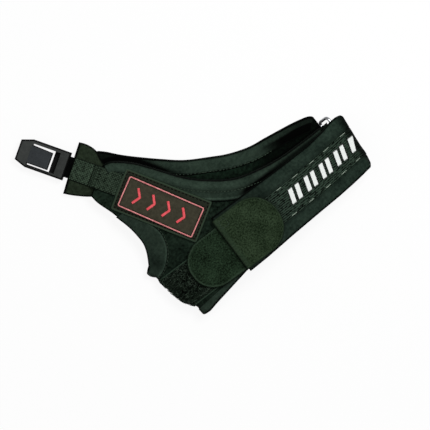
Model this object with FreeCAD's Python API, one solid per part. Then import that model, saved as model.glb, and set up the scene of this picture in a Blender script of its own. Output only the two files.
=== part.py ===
"""Clip-on pole wrist strap for a right hand, laid flat on its palm panel.

Millimetres. X runs along the wrist strap towards its buckle ring, Y along the hand towards
the clip, Z up. Everything on the back of the hand is a layer of one curved shell: an arch
over the wrist that narrows, through a ruled stretch, to a flat end at the clip webbing.
A layer is named by its lowest and highest offset from the inside of that shell.
"""
import FreeCAD, Part
import math
import os
from FreeCAD import Vector

# ---- footprint --------------------------------------------------------------------------
footprint_centre_x = -0.54  # middle of the laid-out guard, which the row's origin sits under
footprint_centre_y = 0.50

# ---- fabric thicknesses, from the inside of the hand shell outwards ----------------------
panel_thick = 3.0           # neoprene palm panel and back-of-hand panel
lining_thick = 0.8          # folded edge bindings and the thumb facing, sewn on the neoprene
loop_thick = 1.0            # soft half of the hook-and-loop closure
lay_gap = 0.3               # air between layers that only lie on one another
strap_thick = 3.0           # neoprene wrist strap
tape_thick = 0.8            # woven tape down the middle of the strap
print_thick = 0.3           # thread and reflective print standing on the tape
cover_thick = 1.6           # hook fabric folded over the end of the strap
hook_thick = 0.8            # hook half of the closure, under the tab
tab_thick = 1.2             # backing of the hook tab
patch_thick = 1.6           # moulded rubber patch
patch_raise = 0.5           # coloured relief on the patch

# ---- wrist arch ---------------------------------------------------------------------------
arch_x = 7.0                # the arch is highest here
arch_peak = 24.0            # inside of the arch above the floor
arch_radius = 148.3
arch_left_x = -68.0         # free left end of the arch, at the thumb opening
leg_slope = 26.9            # degrees; the arch leaves its circle here and runs straight down
fold_slope_thumb = 26.9     # degrees on the arch where the wrist gusset starts, thumb end
fold_slope_wrist = 23.0     # the same at the wrist end
arch_start_y = -28.0        # the arch is straight from here to the wrist edge
gusset_start_y = -42.0
wrist_y = -80.0
cut_margin = 3.0            # layers are made this far past an outline, then cut to it
past = 1.0                  # cutting blocks reach this far past what they cut

# ---- clip lead: the line from the clip's nose through the middle of its webbing -----------
lead_x = -87.12
lead_y = 77.29
lead_angle = -56.6          # degrees from +X
hand_end_s = 53.95          # back-of-hand panel starts here, measured from the clip's nose
hand_end_left = -17.8
hand_end_right = 15.5

# ---- clip -----------------------------------------------------------------------------------
clip_long = 33.45
clip_wide = 18.9
clip_thick = 6.4
nose_wide = 13.5
nose_chamfer_long = 7.7
clip_edge_chamfer = 0.7
tongue_start = 8.15
tongue_long = 14.1
tongue_wide = 12.4          # at its root
tongue_taper = 0.7          # narrower at the free end, all on the side away from the thumb
tongue_shift = -0.3         # the tongue sits this far off the clip's middle, towards the thumb
window_shift = -0.25        # and its window this far
tongue_thick = 2.4
slot_wide = 0.85            # mean of the gaps beside the tongue's root
slot_end = 0.97             # gap past the tongue's free end
notch_long = 3.73           # pocket past the gap that the pole grip's catch drops into
notch_deep = 4.6
pin_radius = 1.0
pin_inset = 2.5             # hinge pin ahead of the clip's rear face
pin_margin = 0.8            # clip wall outside each end of the pin
pivot_gap = 0.05            # running clearance, on the radius
cavity_half = 2.2           # half height of the mouth for the webbing loop
cavity_side_gap = 0.4

# ---- webbing, loops and the flared end ----------------------------------------------------
clip_loop_thick = 0.9       # black webbing round the hinge pin, folded double
clip_loop_wide = 14.0
clip_loop_end_s = 60.95
webbing_wide = 15.0
webbing_thick = 1.1
webbing_start_s = 36.65
webbing_ramp = 3.5          # length over which the webbing climbs on to the hand panel
webbing_under_patch = 8.0
flare_thick = 1.6
webbing_ramp_lead = 0.4     # the webbing's upper face starts to climb this much sooner

# ---- rubber patch ----------------------------------------------------------------------------
patch_x = -50.45            # middle of the patch's end over the webbing
patch_y = 17.84
patch_angle = -58.5         # degrees from +X
patch_long = 59.7
patch_wide = 28.3
patch_corner = 1.5
least_corner = 0.4
border_inset = 3.6
border_line = 1.0
border_angle = -1.9         # how far the border and chevrons lie turned on the patch, degrees
motif_count = 4
motif_pitch = 10.4
motif_reach = 6.4
motif_half_wide = 5.4
motif_line = 1.6

# ---- ring and its holder -----------------------------------------------------------------------
wire_radius = 1.0
ring_inner_z = 2.6
ring_reach = 6.0            # from the ring's inner bar to its outer bar, along X
bar_under_fold = 0.8        # the outer bar rests this far under the middle of the strap's fold
ring_top_y = -26.2
ring_low_y = -68.0
ring_corner = 2.2
holder_thick = 1.4
holder_tail = 12.0
holder_side_gap = 1.2

# ---- wrist strap ---------------------------------------------------------------------------------
fold_inner = 3.3            # inside radius of the fold round the ring's outer bar
fold_side_gap = 0.6
strap_end_x = -14.4
strap_top_y = -33.2
strap_low_y = -75.1
strap_taper = 22.3          # the strap narrows over this length before the ring
strap_drift = 3.9           # rise of the strap's low edge up to where it narrows
tape_middle_y = -53.8
tape_wide = 20.5
tape_start_x = 20.0
tape_under_cover = 10.0     # length of tape that the end cover hides
tape_rise = 3.3             # the tape drifts this far towards the hand at the fold
dash_rows_apart = 18.6
dash_long = 4.8
dash_wide = 0.9
dash_pitch = 12.2
dash_start_x = 27.0
bar_start_x = 32.0
bar_pitch = 12.6
bar_count = 4
bar_wide = 3.0
bar_high = 8.5
bar_shift_y = 0.6
bar_slant = 3.2
bar_gap = 2.2
cover_end_x = 22.5
cover_top_y = -35.3
cover_low_y = -73.5
tab_long = 31.5
tab_top_y = -39.6
tab_low_y = -73.0
hook_inset = 1.5            # the hook field stops this far inside the tab's outline
box_stitch_x = -9.5
box_stitch_y = -40.5
box_stitch_side = 5.0

# ---- shared heights and places worked out from the sizes ------------------------------------
tall = 2 * arch_peak         # cutting prisms reach above everything
arch_z = arch_peak - arch_radius
leg_turn = math.radians(leg_slope)
leg_start_x = arch_x + arch_radius * math.sin(leg_turn)
leg_start_z = arch_z + arch_radius * math.cos(leg_turn)
ring_bore = wire_radius + pivot_gap
holder_reach = ring_bore + holder_thick
leg_over_ring = ring_inner_z + (holder_reach + lay_gap) / math.cos(leg_turn)
ring_inner_x = leg_start_x + (leg_start_z - leg_over_ring) / math.tan(leg_turn)
ring_outer_x = ring_inner_x + ring_reach
panel_right_x = ring_outer_x + fold_inner
palm_right_x = ring_inner_x - holder_reach - lay_gap
strap_right_x = ring_outer_x + fold_inner + strap_thick + tape_thick + past
leg_low_y = ring_low_y + wire_radius + fold_side_gap
taper_x = ring_outer_x - strap_taper
clip_loop_low = panel_thick
clip_loop_top = clip_loop_low + 2 * clip_loop_thick
pin_z = clip_loop_low + clip_loop_thick
pin_s = clip_long - pin_inset
flare_top = clip_loop_top + flare_thick
strap_low = panel_thick + loop_thick + lay_gap
strap_top = strap_low + strap_thick
tape_top = strap_top + tape_thick
print_top = tape_top + print_thick
cover_top = strap_top + cover_thick
hook_top = strap_low + hook_thick
tab_top = hook_top + tab_thick
patch_top = panel_thick + patch_thick
tab_hinge_x = strap_end_x - lay_gap / 2


def lead_point(s, side, z=0.0):
    """A point s along the clip lead and side to its left, in the row frame."""
    turn = math.radians(lead_angle)
    x = lead_x + s * math.cos(turn) - side * math.sin(turn)
    y = lead_y + s * math.sin(turn) + side * math.cos(turn)
    return Vector(x, y, z)


def laid_out(shape, x, y, angle):
    """Puts a shape modelled along +X at the origin in its place, turned by an angle."""
    placed = shape.copy()
    placed.rotate(Vector(0, 0, 0), Vector(0, 0, 1), angle)
    placed.translate(Vector(x, y, 0))
    return placed


def on_lead(shape):
    return laid_out(shape, lead_x, lead_y, lead_angle)


def on_patch(shape):
    return laid_out(shape, patch_x, patch_y, patch_angle)


def arch_point(angle, offset, y):
    """A point on the wrist arch, angle degrees right of its top, offset outside its inner face."""
    turn = math.radians(angle)
    reach = arch_radius + offset
    return Vector(arch_x + reach * math.sin(turn), y, arch_z + reach * math.cos(turn))


def arch_angle(x, offset):
    """The arch angle at which the layer face at that offset reaches x."""
    return math.degrees(math.asin((x - arch_x) / (arch_radius + offset)))


def circle_point(centre, radius, angle, y):
    """A point on a circle in the XZ plane, angle degrees from straight up towards +X."""
    turn = math.radians(angle)
    return Vector(centre[0] + radius * math.sin(turn), y, centre[1] + radius * math.cos(turn))


def find_fold_centre():
    """The fold's centre: over the ring's outer bar, its outside tangent to the panel's leg."""
    leg_z = leg_start_z - (ring_outer_x - leg_start_x) * math.tan(leg_turn)
    return (ring_outer_x, leg_z + (fold_inner + panel_thick) / math.cos(leg_turn))


fold_centre = find_fold_centre()
ring_outer_z = fold_centre[1] - bar_under_fold


def find_strap_slope():
    """Slope of the line tangent to the strap's arch and to the top of the fold."""
    across = fold_centre[0] - arch_x
    up = fold_centre[1] - arch_z
    between = math.hypot(across, up)
    drop = arch_radius + strap_low - fold_inner
    return math.degrees(math.atan2(across, up) - math.acos(drop / between))


strap_slope = find_strap_slope()


round_share = 0.92          # how full the rounded ends are, against a half circle


# ---- profiles and outlines ---------------------------------------------------------------------
def face_of(edges):
    return Part.Face(Part.Wire(edges))


def line(a, b):
    return Part.LineSegment(a, b).toShape()


def arc(a, b, c):
    return Part.Arc(a, b, c).toShape()


def flat_face(points):
    return Part.Face(Part.makePolygon(points + [points[0]]))


def ring_sector(centre, inner, outer, start, end, y0, y1):
    """Part of a tube about Y: between two radii and two angles from straight up."""
    middle = (start + end) / 2
    edges = [
        arc(*[circle_point(centre, outer, a, y0) for a in (start, middle, end)]),
        line(circle_point(centre, outer, end, y0), circle_point(centre, inner, end, y0)),
        arc(*[circle_point(centre, inner, a, y0) for a in (end, middle, start)]),
        line(circle_point(centre, inner, start, y0), circle_point(centre, outer, start, y0)),
    ]
    return face_of(edges).extrude(Vector(0, y1 - y0, 0))


def arch_strip(start, end, low, high, y0, y1):
    """The layer between two offsets over the arch, from one arch angle to another."""
    centre = (arch_x, arch_z)
    return ring_sector(centre, arch_radius + low, arch_radius + high, start, end, y0, y1)


def edge_run(points, z):
    """One run of an outline: a straight line, or a smooth curve through three or more points."""
    places = [Vector(x, y, z) for x, y in points]
    if len(places) == 2:
        return line(places[0], places[1])
    curve = Part.BSplineCurve()
    curve.interpolate(places)
    return curve.toShape()


def prism(runs, low=-past, high=tall):
    """A solid over a plan outline, given as runs that each start where the last one ended."""
    edges = [edge_run(run, low) for run in runs]
    return face_of(edges).extrude(Vector(0, 0, high - low))


def polygon_prism(points, low=-past, high=tall):
    corners = [Vector(x, y, low) for x, y in points]
    return flat_face(corners).extrude(Vector(0, 0, high - low))


def round_ended(start_x, end_x, low_y, high_y, round_left, round_right):
    """A plan shape with straight sides and a rounded end on one side or both."""
    middle = (low_y + high_y) / 2
    bulge = (high_y - low_y) / 2
    shoulder = bulge * round_share
    left = start_x + shoulder if round_left else start_x
    right = end_x - shoulder if round_right else end_x
    edges = [line(Vector(left, high_y, -past), Vector(right, high_y, -past))]
    top_right = Vector(right, high_y, -past)
    low_right = Vector(right, low_y, -past)
    if round_right:
        edges.append(arc(top_right, Vector(end_x, middle, -past), low_right))
    else:
        edges.append(line(top_right, low_right))
    edges.append(line(low_right, Vector(left, low_y, -past)))
    low_left = Vector(left, low_y, -past)
    top_left = Vector(left, high_y, -past)
    if round_left:
        edges.append(arc(low_left, Vector(start_x, middle, -past), top_left))
    else:
        edges.append(line(low_left, top_left))
    return face_of(edges).extrude(Vector(0, 0, tall + past))


def beside(points, width):
    """The points of a smooth curve moved sideways, to the right of its direction."""
    curve = Part.BSplineCurve()
    curve.interpolate([Vector(x, y, 0) for x, y in points])
    moved = []
    for x, y in points:
        at = curve.parameter(Vector(x, y, 0))
        along = curve.tangent(at)[0]
        moved.append((x + along.y * width, y - along.x * width))
    return moved


# ---- the hand shell ------------------------------------------------------------------------------
def ruled_solid(first, second):
    """A solid between two four-sided sections whose edges run in the same order."""
    sides = [Part.makeRuledSurface(a, b) for a, b in zip(first, second)]
    ends = [face_of(first), face_of(second)]
    return Part.makeSolid(Part.makeShell(sides + ends))


def hand_end_section(low, high):
    base = flare_top
    a = lead_point(hand_end_s, hand_end_left, base + low)
    b = lead_point(hand_end_s, hand_end_right, base + low)
    c = lead_point(hand_end_s, hand_end_right, base + high)
    d = lead_point(hand_end_s, hand_end_left, base + high)
    return [line(a, b), line(b, c), line(c, d), line(d, a)]


def arch_section(low, high, y):
    left = arch_angle(arch_left_x, 0)
    middle = (left + leg_slope) / 2
    a = arch_point(left, low, y)
    b = arch_point(leg_slope, low, y)
    c = arch_point(leg_slope, high, y)
    d = arch_point(left, high, y)
    under = arc(a, arch_point(middle, low, y), b)
    over = arc(c, arch_point(middle, high, y), d)
    return [under, line(b, c), over, line(d, a)]


def leg_strip(low, high, y0, y1):
    """The straight stretch of the panel from the arch down to the fold."""
    outer = fold_inner + panel_thick
    end_low = circle_point(fold_centre, outer - low, 180 + leg_slope, y0)
    end_high = circle_point(fold_centre, outer - high, 180 + leg_slope, y0)
    start_low = arch_point(leg_slope, low, y0)
    start_high = arch_point(leg_slope, high, y0)
    face = flat_face([start_low, end_low, end_high, start_high])
    return face.extrude(Vector(0, y1 - y0, 0))


def gusset_angles(y):
    share = (gusset_start_y - y) / (gusset_start_y - wrist_y)
    return fold_slope_thumb + (fold_slope_wrist - fold_slope_thumb) * share


def hand_layer(low, high):
    """The whole shell between two offsets, before it is cut to an outline."""
    left = arch_angle(arch_left_x, 0)
    pieces = [
        ruled_solid(hand_end_section(low, high), arch_section(low, high, arch_start_y)),
        arch_strip(left, leg_slope, low, high, wrist_y - cut_margin, arch_start_y),
        leg_strip(low, high, wrist_y - cut_margin, arch_start_y),
    ]
    return pieces[0].fuse(pieces[1:]).removeSplitter()


wedge_angle = 12            # degrees of arch; more than the shell has left of the gusset


def gusset_wedge():
    """The space left of the wrist gusset's start, which the back panel leaves to the gusset."""
    sections = []
    for y in (gusset_start_y, wrist_y - cut_margin):
        angle = -gusset_angles(y)
        near = [arch_point(angle, offset, y) for offset in (-lay_gap, arch_peak)]
        far = [arch_point(angle - wedge_angle, offset, y) for offset in (arch_peak, -lay_gap)]
        corners = near + far
        sections.append([line(a, b) for a, b in zip(corners, corners[1:] + corners[:1])])
    return ruled_solid(*sections)


def gusset_section(y):
    """The wrist gusset's turned section: round from the palm panel up to the arch."""
    slope = gusset_angles(y)
    meet = arch_point(-slope, 0, y)
    turn = math.radians(slope)
    inner = (meet.z - panel_thick) / (1 + math.cos(turn))
    outer = inner + panel_thick
    centre = (meet.x + inner * math.sin(turn), panel_thick + inner)
    start = 180.0
    end = 360.0 - slope
    middle = (start + end) / 2
    points = [[circle_point(centre, r, a, y) for a in (start, middle, end)] for r in (inner, outer)]
    under, over = points
    edges = [
        arc(*over),
        line(over[2], under[2]),
        arc(under[2], under[1], under[0]),
        line(under[0], over[0]),
    ]
    return edges, centre[0]


# ---- plan outlines ------------------------------------------------------------------------------
hand_top_edge = [
    (-50.8, 35.9), (-46.0, 35.0), (-41.4, 32.4), (-32.5, 24.2), (-14.4, 0.0),
    (-0.5, -13.6), (16.3, -23.5), (30.3, -27.4), (44.3, -29.4),
]
thumb_edge = [
    (-66.0, -35.5), (-60.4, -26.5), (-58.5, -19.5), (-59.8, -6.6), (-62.7, 7.0), (-66.2, 17.9),
    (-67.1, 24.2),
]
thumb_seam = [
    (-63.4, -43.9), (-57.7, -41.9), (-52.6, -37.9), (-48.7, -33.2), (-46.5, -27.9), (-46.3, -21.0),
    (-49.0, -8.5), (-54.0, 2.0),
]
palm_top_edge = [
    (-47.8, 45.8), (-37.4, 34.9), (-18.1, 16.6), (-6.1, 6.8), (8.4, -1.6), (19.9, -7.6),
    (32.9, -11.9), (45.1, -13.7), (62.6, -16.1), (72.4, -18.2),
]
palm_thumb_edge = [
    (-57.0, -30.0), (-55.8, -19.5), (-57.0, -6.0), (-60.0, 7.0), (-63.5, 17.5), (-65.5, 24.0),
]
panel_top_right_y = -29.9
palm_corner_x = 78.1        # the palm panel's corner, past the end of the ring's holder
palm_corner_high_y = -21.2
palm_corner_low_y = -26.2
top_binding_wide = 8.5
top_binding_end = 6.5
palm_binding_wide = 5.0
edge_set_back = 0.1         # sewn-on bands stop this far inside the panel's cut edge
ledge = 8.6                 # the panel keeps the fold's width over this length
taper_low_y = -70.7
palm_beyond = 1.0           # the palm panel reaches this far past the ring's low side
wrist_corner = (-56.5, -80.3)
corner_clear_x = -75.0      # left of everything by the gusset
wrist_edge_end = (-15.7, -73.5)
lip = [(-66.0, -35.5), (-68.4, -36.2), (-68.4, -38.6), (-66.6, gusset_start_y)]
facing_end = (-61.5, 2.0)
loop_plan = [(-58.6, -45.0), (39.0, -45.0), (39.0, -71.5), (-51.5, -72.4)]
wrist_binding_plan = [(-53.5, -79.9), (-53.0, -75.0), (39.0, -73.6), (39.0, -76.5)]
flare_rear_s = 56.95
flare_left_edge = [(35.5, 17.7), (42.4, 17.8), (47.9, 16.2), (52.2, 12.0), (flare_rear_s, 8.6)]
flare_right_edge = [(flare_rear_s, -12.2), (45.95, -15.8), (36.8, -17.3)]


def back_panel_outline():
    right_top = (panel_right_x, panel_top_right_y)
    right_low = (panel_right_x, leg_low_y)
    ledge_low = (ring_outer_x - ledge, leg_low_y)
    return prism([
        [thumb_edge[-1], hand_top_edge[0]],
        hand_top_edge,
        [hand_top_edge[-1], right_top],
        [right_top, right_low],
        [right_low, ledge_low],
        [ledge_low, (taper_x, taper_low_y)],
        [(taper_x, taper_low_y), wrist_edge_end],
        [wrist_edge_end, wrist_corner],
        [wrist_corner, (corner_clear_x, wrist_corner[1])],
        [(corner_clear_x, wrist_corner[1]), (corner_clear_x, gusset_start_y)],
        [(corner_clear_x, gusset_start_y), lip[-1]],
        lip[::-1],
        thumb_edge,
    ])


# ---- back of the hand ----------------------------------------------------------------------------
def make_back_panel():
    panel = hand_layer(0, panel_thick).common(back_panel_outline())
    return panel.cut(gusset_wedge())


def make_back_top_binding():
    inner_edge = beside(hand_top_edge, top_binding_wide)
    right_top = (ring_outer_x - ledge, panel_top_right_y - edge_set_back)
    right_low = (ring_outer_x - ledge, panel_top_right_y - top_binding_end)
    outline = prism([
        hand_top_edge,
        [hand_top_edge[-1], right_top],
        [right_top, right_low],
        [right_low, inner_edge[-1]],
        inner_edge[::-1],
        [inner_edge[0], hand_top_edge[0]],
    ])
    band = hand_layer(panel_thick, panel_thick + lining_thick).common(outline)
    return band.cut(webbing_cutter()).cut(patch_cutter())


def make_thumb_facing():
    edge = [p for p in thumb_edge if p[1] < facing_end[1]] + [facing_end]
    outline = prism([
        edge,
        [facing_end, thumb_seam[-1]],
        thumb_seam[::-1],
        [thumb_seam[0], lip[-1]],
        lip[::-1],
    ])
    facing = hand_layer(panel_thick, panel_thick + lining_thick).common(outline)
    return facing.cut(gusset_wedge()).cut(patch_cutter())


def make_loop_strip():
    strip = hand_layer(panel_thick, panel_thick + loop_thick).common(polygon_prism(loop_plan))
    return strip.cut(gusset_wedge())


def make_wrist_binding():
    band = hand_layer(panel_thick, panel_thick + lining_thick)
    band = band.common(polygon_prism(wrist_binding_plan)).common(back_panel_outline())
    return band.cut(gusset_wedge())


# ---- palm side ----------------------------------------------------------------------------------
def make_palm_panel():
    fold_thumb = (gusset_section(gusset_start_y)[1], gusset_start_y)
    fold_wrist = (gusset_section(wrist_y)[1], wrist_y)
    thumb_inner = [fold_thumb] + palm_thumb_edge
    corner_high = (palm_corner_x, palm_corner_high_y)
    corner_low = (palm_corner_x, palm_corner_low_y)
    right_top = (palm_right_x, palm_corner_low_y)
    right_low = (palm_right_x, leg_low_y - palm_beyond)
    taper_end = (taper_x, taper_low_y - palm_beyond / 2)
    return prism([
        palm_top_edge,
        [palm_top_edge[-1], corner_high],
        [corner_high, corner_low],
        [corner_low, right_top],
        [right_top, right_low],
        [right_low, taper_end],
        [taper_end, wrist_edge_end],
        [wrist_edge_end, fold_wrist],
        [fold_wrist, fold_thumb],
        thumb_inner,
        [thumb_inner[-1], palm_top_edge[0]],
    ], 0.0, panel_thick)


def make_palm_top_binding():
    inner_edge = beside(palm_top_edge, palm_binding_wide)
    band = prism([
        palm_top_edge,
        [palm_top_edge[-1], inner_edge[-1]],
        inner_edge[::-1],
        [inner_edge[0], palm_top_edge[0]],
    ], panel_thick, panel_thick + lining_thick)
    return band.cut(flare_prism(-past, tall))


def make_wrist_gusset():
    return ruled_solid(gusset_section(gusset_start_y)[0], gusset_section(wrist_y)[0])


def make_ring_holder():
    """Webbing folded round the ring's inner bar, its tail sewn on the palm panel."""
    low_y = leg_low_y + holder_side_gap
    long = panel_top_right_y - holder_side_gap - low_y
    centre = Vector(ring_inner_x, low_y, ring_inner_z)
    loop = Part.makeCylinder(holder_reach, long, centre, Vector(0, 1, 0))
    tail_x = ring_inner_x - holder_tail
    tail = Part.makeBox(holder_tail, long, holder_thick, Vector(tail_x, low_y, panel_thick))
    bore = Part.makeCylinder(ring_bore, long, centre, Vector(0, 1, 0))
    return loop.fuse(tail).cut(bore).removeSplitter()


def make_ring():
    """Rectangular wire ring: two long bars along Y joined by round-cornered short sides."""
    tilt = math.atan2(ring_outer_z - ring_inner_z, ring_outer_x - ring_inner_x)
    across = math.hypot(ring_outer_z - ring_inner_z, ring_outer_x - ring_inner_x)
    long = ring_top_y - ring_low_y
    bend = ring_corner
    corners = [(0, 0), (across, 0), (across, long), (0, long)]
    signs = [(1, 1), (-1, 1), (-1, -1), (1, -1)]
    edges = []
    ends = []
    for (x, y), (sx, sy) in zip(corners, signs):
        along_x = Vector(x + sx * bend, y, 0)
        along_y = Vector(x, y + sy * bend, 0)
        cut_in = bend * (1 - math.sqrt(0.5))
        middle = Vector(x + sx * cut_in, y + sy * cut_in, 0)
        ends.append((along_x, middle, along_y))
    first, second, third, fourth = ends
    edges = [
        arc(first[2], first[1], first[0]), line(first[0], second[0]),
        arc(*second), line(second[2], third[2]),
        arc(third[2], third[1], third[0]), line(third[0], fourth[0]),
        arc(*fourth), line(fourth[2], first[2]),
    ]
    path = Part.Wire(edges)
    start = first[2]
    section = Part.Wire(Part.makeCircle(wire_radius, start, Vector(0, 1, 0)))
    ring = path.makePipeShell([section], True, False)
    ring.rotate(Vector(0, 0, 0), Vector(0, 1, 0), -math.degrees(tilt))
    ring.translate(Vector(ring_inner_x, ring_low_y, ring_inner_z))
    return ring


# ---- clip end -------------------------------------------------------------------------------------
def flare_prism(low, high):
    runs = [
        [flare_left_edge[-1], flare_right_edge[0]],
        flare_right_edge,
        [flare_right_edge[-1], flare_left_edge[0]],
        flare_left_edge,
    ]
    edges = [edge_run(run, low) for run in runs]
    return on_lead(face_of(edges).extrude(Vector(0, 0, high - low)))


def make_flared_end():
    return flare_prism(clip_loop_top, flare_top)


def make_clip_loop():
    """Black webbing doubled round the hinge pin, its two tails under the flared end."""
    half = clip_loop_wide / 2
    hole = pin_radius + pivot_gap
    low = Vector(pin_s, -half, pin_z)
    eye = Part.makeCylinder(hole + clip_loop_thick, clip_loop_wide, low, Vector(0, 1, 0))
    long = clip_loop_end_s - pin_s
    corner = Vector(pin_s, -half, clip_loop_low)
    tails = Part.makeBox(long, clip_loop_wide, 2 * clip_loop_thick, corner)
    bore = Part.makeCylinder(hole, clip_loop_wide, low, Vector(0, 1, 0))
    return on_lead(eye.fuse(tails).cut(bore).removeSplitter())


def webbing_ramp_prism():
    half = webbing_wide / 2
    ramp_s = hand_end_s - webbing_ramp
    upper = flare_top + panel_thick
    profile = [
        (webbing_start_s, flare_top), (ramp_s, flare_top), (hand_end_s, upper),
        (hand_end_s, upper + webbing_thick),
        (ramp_s - webbing_ramp_lead, flare_top + webbing_thick),
        (webbing_start_s, flare_top + webbing_thick),
    ]
    face = flat_face([Vector(s, -half, z) for s, z in profile])
    return on_lead(face.extrude(Vector(0, webbing_wide, 0)))


def webbing_cutter():
    half = webbing_wide / 2
    turn = math.radians(lead_angle)
    to_patch = (patch_x - lead_x) * math.cos(turn) + (patch_y - lead_y) * math.sin(turn)
    end = to_patch + webbing_under_patch
    strip = polygon_prism([(hand_end_s, -half), (end, -half), (end, half), (hand_end_s, half)])
    return on_lead(strip)


def make_clip_webbing():
    on_panel = hand_layer(panel_thick, panel_thick + webbing_thick).common(webbing_cutter())
    return webbing_ramp_prism().fuse(on_panel).removeSplitter()


def patch_cutter(inset=0.0):
    """Round-cornered block over the patch's plan, drawn in by an inset."""
    long = patch_long - 2 * inset
    wide = patch_wide - 2 * inset
    corner = Vector(inset, -wide / 2, -past)
    block = Part.makeBox(long, wide, tall, corner)
    upright = [e for e in block.Edges if abs(e.Vertexes[0].X - e.Vertexes[1].X) < 1e-6
               and abs(e.Vertexes[0].Y - e.Vertexes[1].Y) < 1e-6]
    return on_patch(block.makeFillet(max(patch_corner - inset / 4, least_corner), upright))


def make_rubber_patch():
    """Moulded rubber patch, its underside let in for the webbing that runs under it."""
    patch = hand_layer(panel_thick, patch_top).common(patch_cutter())
    return patch.cut(make_clip_webbing())


def turned_on_patch(shape):
    """The shape turned by border_angle about the middle of the patch's end over the webbing."""
    shape.rotate(Vector(patch_x, patch_y, 0), Vector(0, 0, 1), border_angle)
    return shape


def make_patch_border():
    raised = hand_layer(patch_top, patch_top + patch_raise)
    frame = patch_cutter(border_inset).cut(patch_cutter(border_inset + border_line))
    return raised.common(turned_on_patch(frame))


def make_patch_motif():
    """Chevrons in the middle of the patch, pointing along it."""
    raised = hand_layer(patch_top, patch_top + patch_raise)
    middle = patch_long / 2 - motif_reach / 4
    pieces = []
    for number in range(motif_count):
        at = middle + (number - (motif_count - 1) / 2) * motif_pitch
        tip = at + motif_reach / 2
        side = motif_half_wide
        chevron = polygon_prism([
            (at, side), (tip, 0), (at, -side), (at - motif_line, -side), (tip - motif_line, 0),
            (at - motif_line, side),
        ])
        pieces.append(raised.common(turned_on_patch(on_patch(chevron))))
    return Part.makeCompound([s for p in pieces for s in p.Solids])


def clip_box(s0, s1, half, z0, z1, middle=0.0):
    return Part.makeBox(s1 - s0, 2 * half, z1 - z0, Vector(s0, middle - half, z0))


def tongue_pivot():
    return (tongue_start, pin_z + clip_thick / 2 - tongue_thick / 2)


def make_clip_body():
    """Moulded clip: chamfered nose, window for the tongue, catch pocket, hollow rear block."""
    low = pin_z - clip_thick / 2
    top = pin_z + clip_thick / 2
    half = clip_wide / 2
    plan = [
        (0, nose_wide / 2), (nose_chamfer_long, half), (clip_long, half),
        (clip_long, -half), (nose_chamfer_long, -half), (0, -nose_wide / 2),
    ]
    block = flat_face([Vector(s, side, low) for s, side in plan])
    block = block.extrude(Vector(0, 0, clip_thick))
    rim = [e for e in block.Edges if abs(e.BoundBox.ZMax - e.BoundBox.ZMin) < 1e-6]
    block = block.makeChamfer(clip_edge_chamfer, rim)
    window_end = tongue_start + tongue_long + slot_end
    window_half = tongue_wide / 2 + slot_wide
    block = block.cut(clip_box(tongue_start, window_end, window_half, low - past, top + past, window_shift))
    notch_end = window_end + notch_long
    notch_low = top - notch_deep
    block = block.cut(clip_box(window_end - past, notch_end, window_half, notch_low, top + past, window_shift))
    pivot_s, pivot_z = tongue_pivot()
    socket = tongue_thick / 2 + pivot_gap
    groove = Vector(pivot_s, tongue_shift - tongue_wide / 2 - pivot_gap, pivot_z)
    block = block.cut(Part.makeCylinder(socket, tongue_wide + 2 * pivot_gap, groove, Vector(0, 1, 0)))
    mouth_half = clip_loop_wide / 2 + cavity_side_gap
    mouth_start = pin_s - cavity_half
    mouth_low = pin_z - cavity_half
    mouth_top = pin_z + cavity_half
    mouth = clip_box(mouth_start, clip_long + past, mouth_half, mouth_low, mouth_top)
    block = block.cut(mouth)
    pin_half = half - pin_margin
    bore = Part.makeCylinder(pin_radius, 2 * pin_half, Vector(pin_s, -pin_half, pin_z), Vector(0, 1, 0))
    return on_lead(block.cut(bore))


def make_hinge_pin():
    half = clip_wide / 2 - pin_margin
    pin = Part.makeCylinder(pin_radius, 2 * half, Vector(pin_s, -half, pin_z), Vector(0, 1, 0))
    return on_lead(pin)


def make_latch_tongue():
    """Spring tongue: a plate that flexes about its rounded root at the nose end."""
    pivot_s, pivot_z = tongue_pivot()
    half = tongue_wide / 2
    thick = tongue_thick
    root = Part.makeCylinder(thick / 2, tongue_wide, Vector(pivot_s, -half, pivot_z), Vector(0, 1, 0))
    end = tongue_start + tongue_long
    low = pivot_z - thick / 2
    plan = [(pivot_s, -half), (end, -half), (end, half - tongue_taper), (pivot_s, half)]
    plate = flat_face([Vector(s, side, low) for s, side in plan]).extrude(Vector(0, 0, thick))
    tongue = plate.fuse(root).removeSplitter()
    return on_lead(tongue.translated(Vector(0, tongue_shift, 0)))


# ---- wrist strap ------------------------------------------------------------------------------------
def strap_layer(low, high, start_x):
    """A layer over the strap: along the arch, then straight to the top of the fold."""
    start = arch_angle(start_x, low)
    y0 = strap_low_y - cut_margin
    y1 = panel_top_right_y + cut_margin
    curved = arch_strip(start, strap_slope, low, high, y0, y1)
    inner = fold_inner + low - strap_low
    outer = fold_inner + high - strap_low
    corners = [
        arch_point(strap_slope, low, y0), circle_point(fold_centre, inner, strap_slope, y0),
        circle_point(fold_centre, outer, strap_slope, y0), arch_point(strap_slope, high, y0),
    ]
    straight = flat_face(corners).extrude(Vector(0, y1 - y0, 0))
    return curved.fuse(straight).removeSplitter()


def fold_layer(low, high, y0, y1):
    """A layer round the fold, from the top of the strap to the end of the panel's leg."""
    inner = fold_inner + low - strap_low
    outer = fold_inner + high - strap_low
    return ring_sector(fold_centre, inner, outer, strap_slope, 180 + leg_slope, y0, y1)


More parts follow.
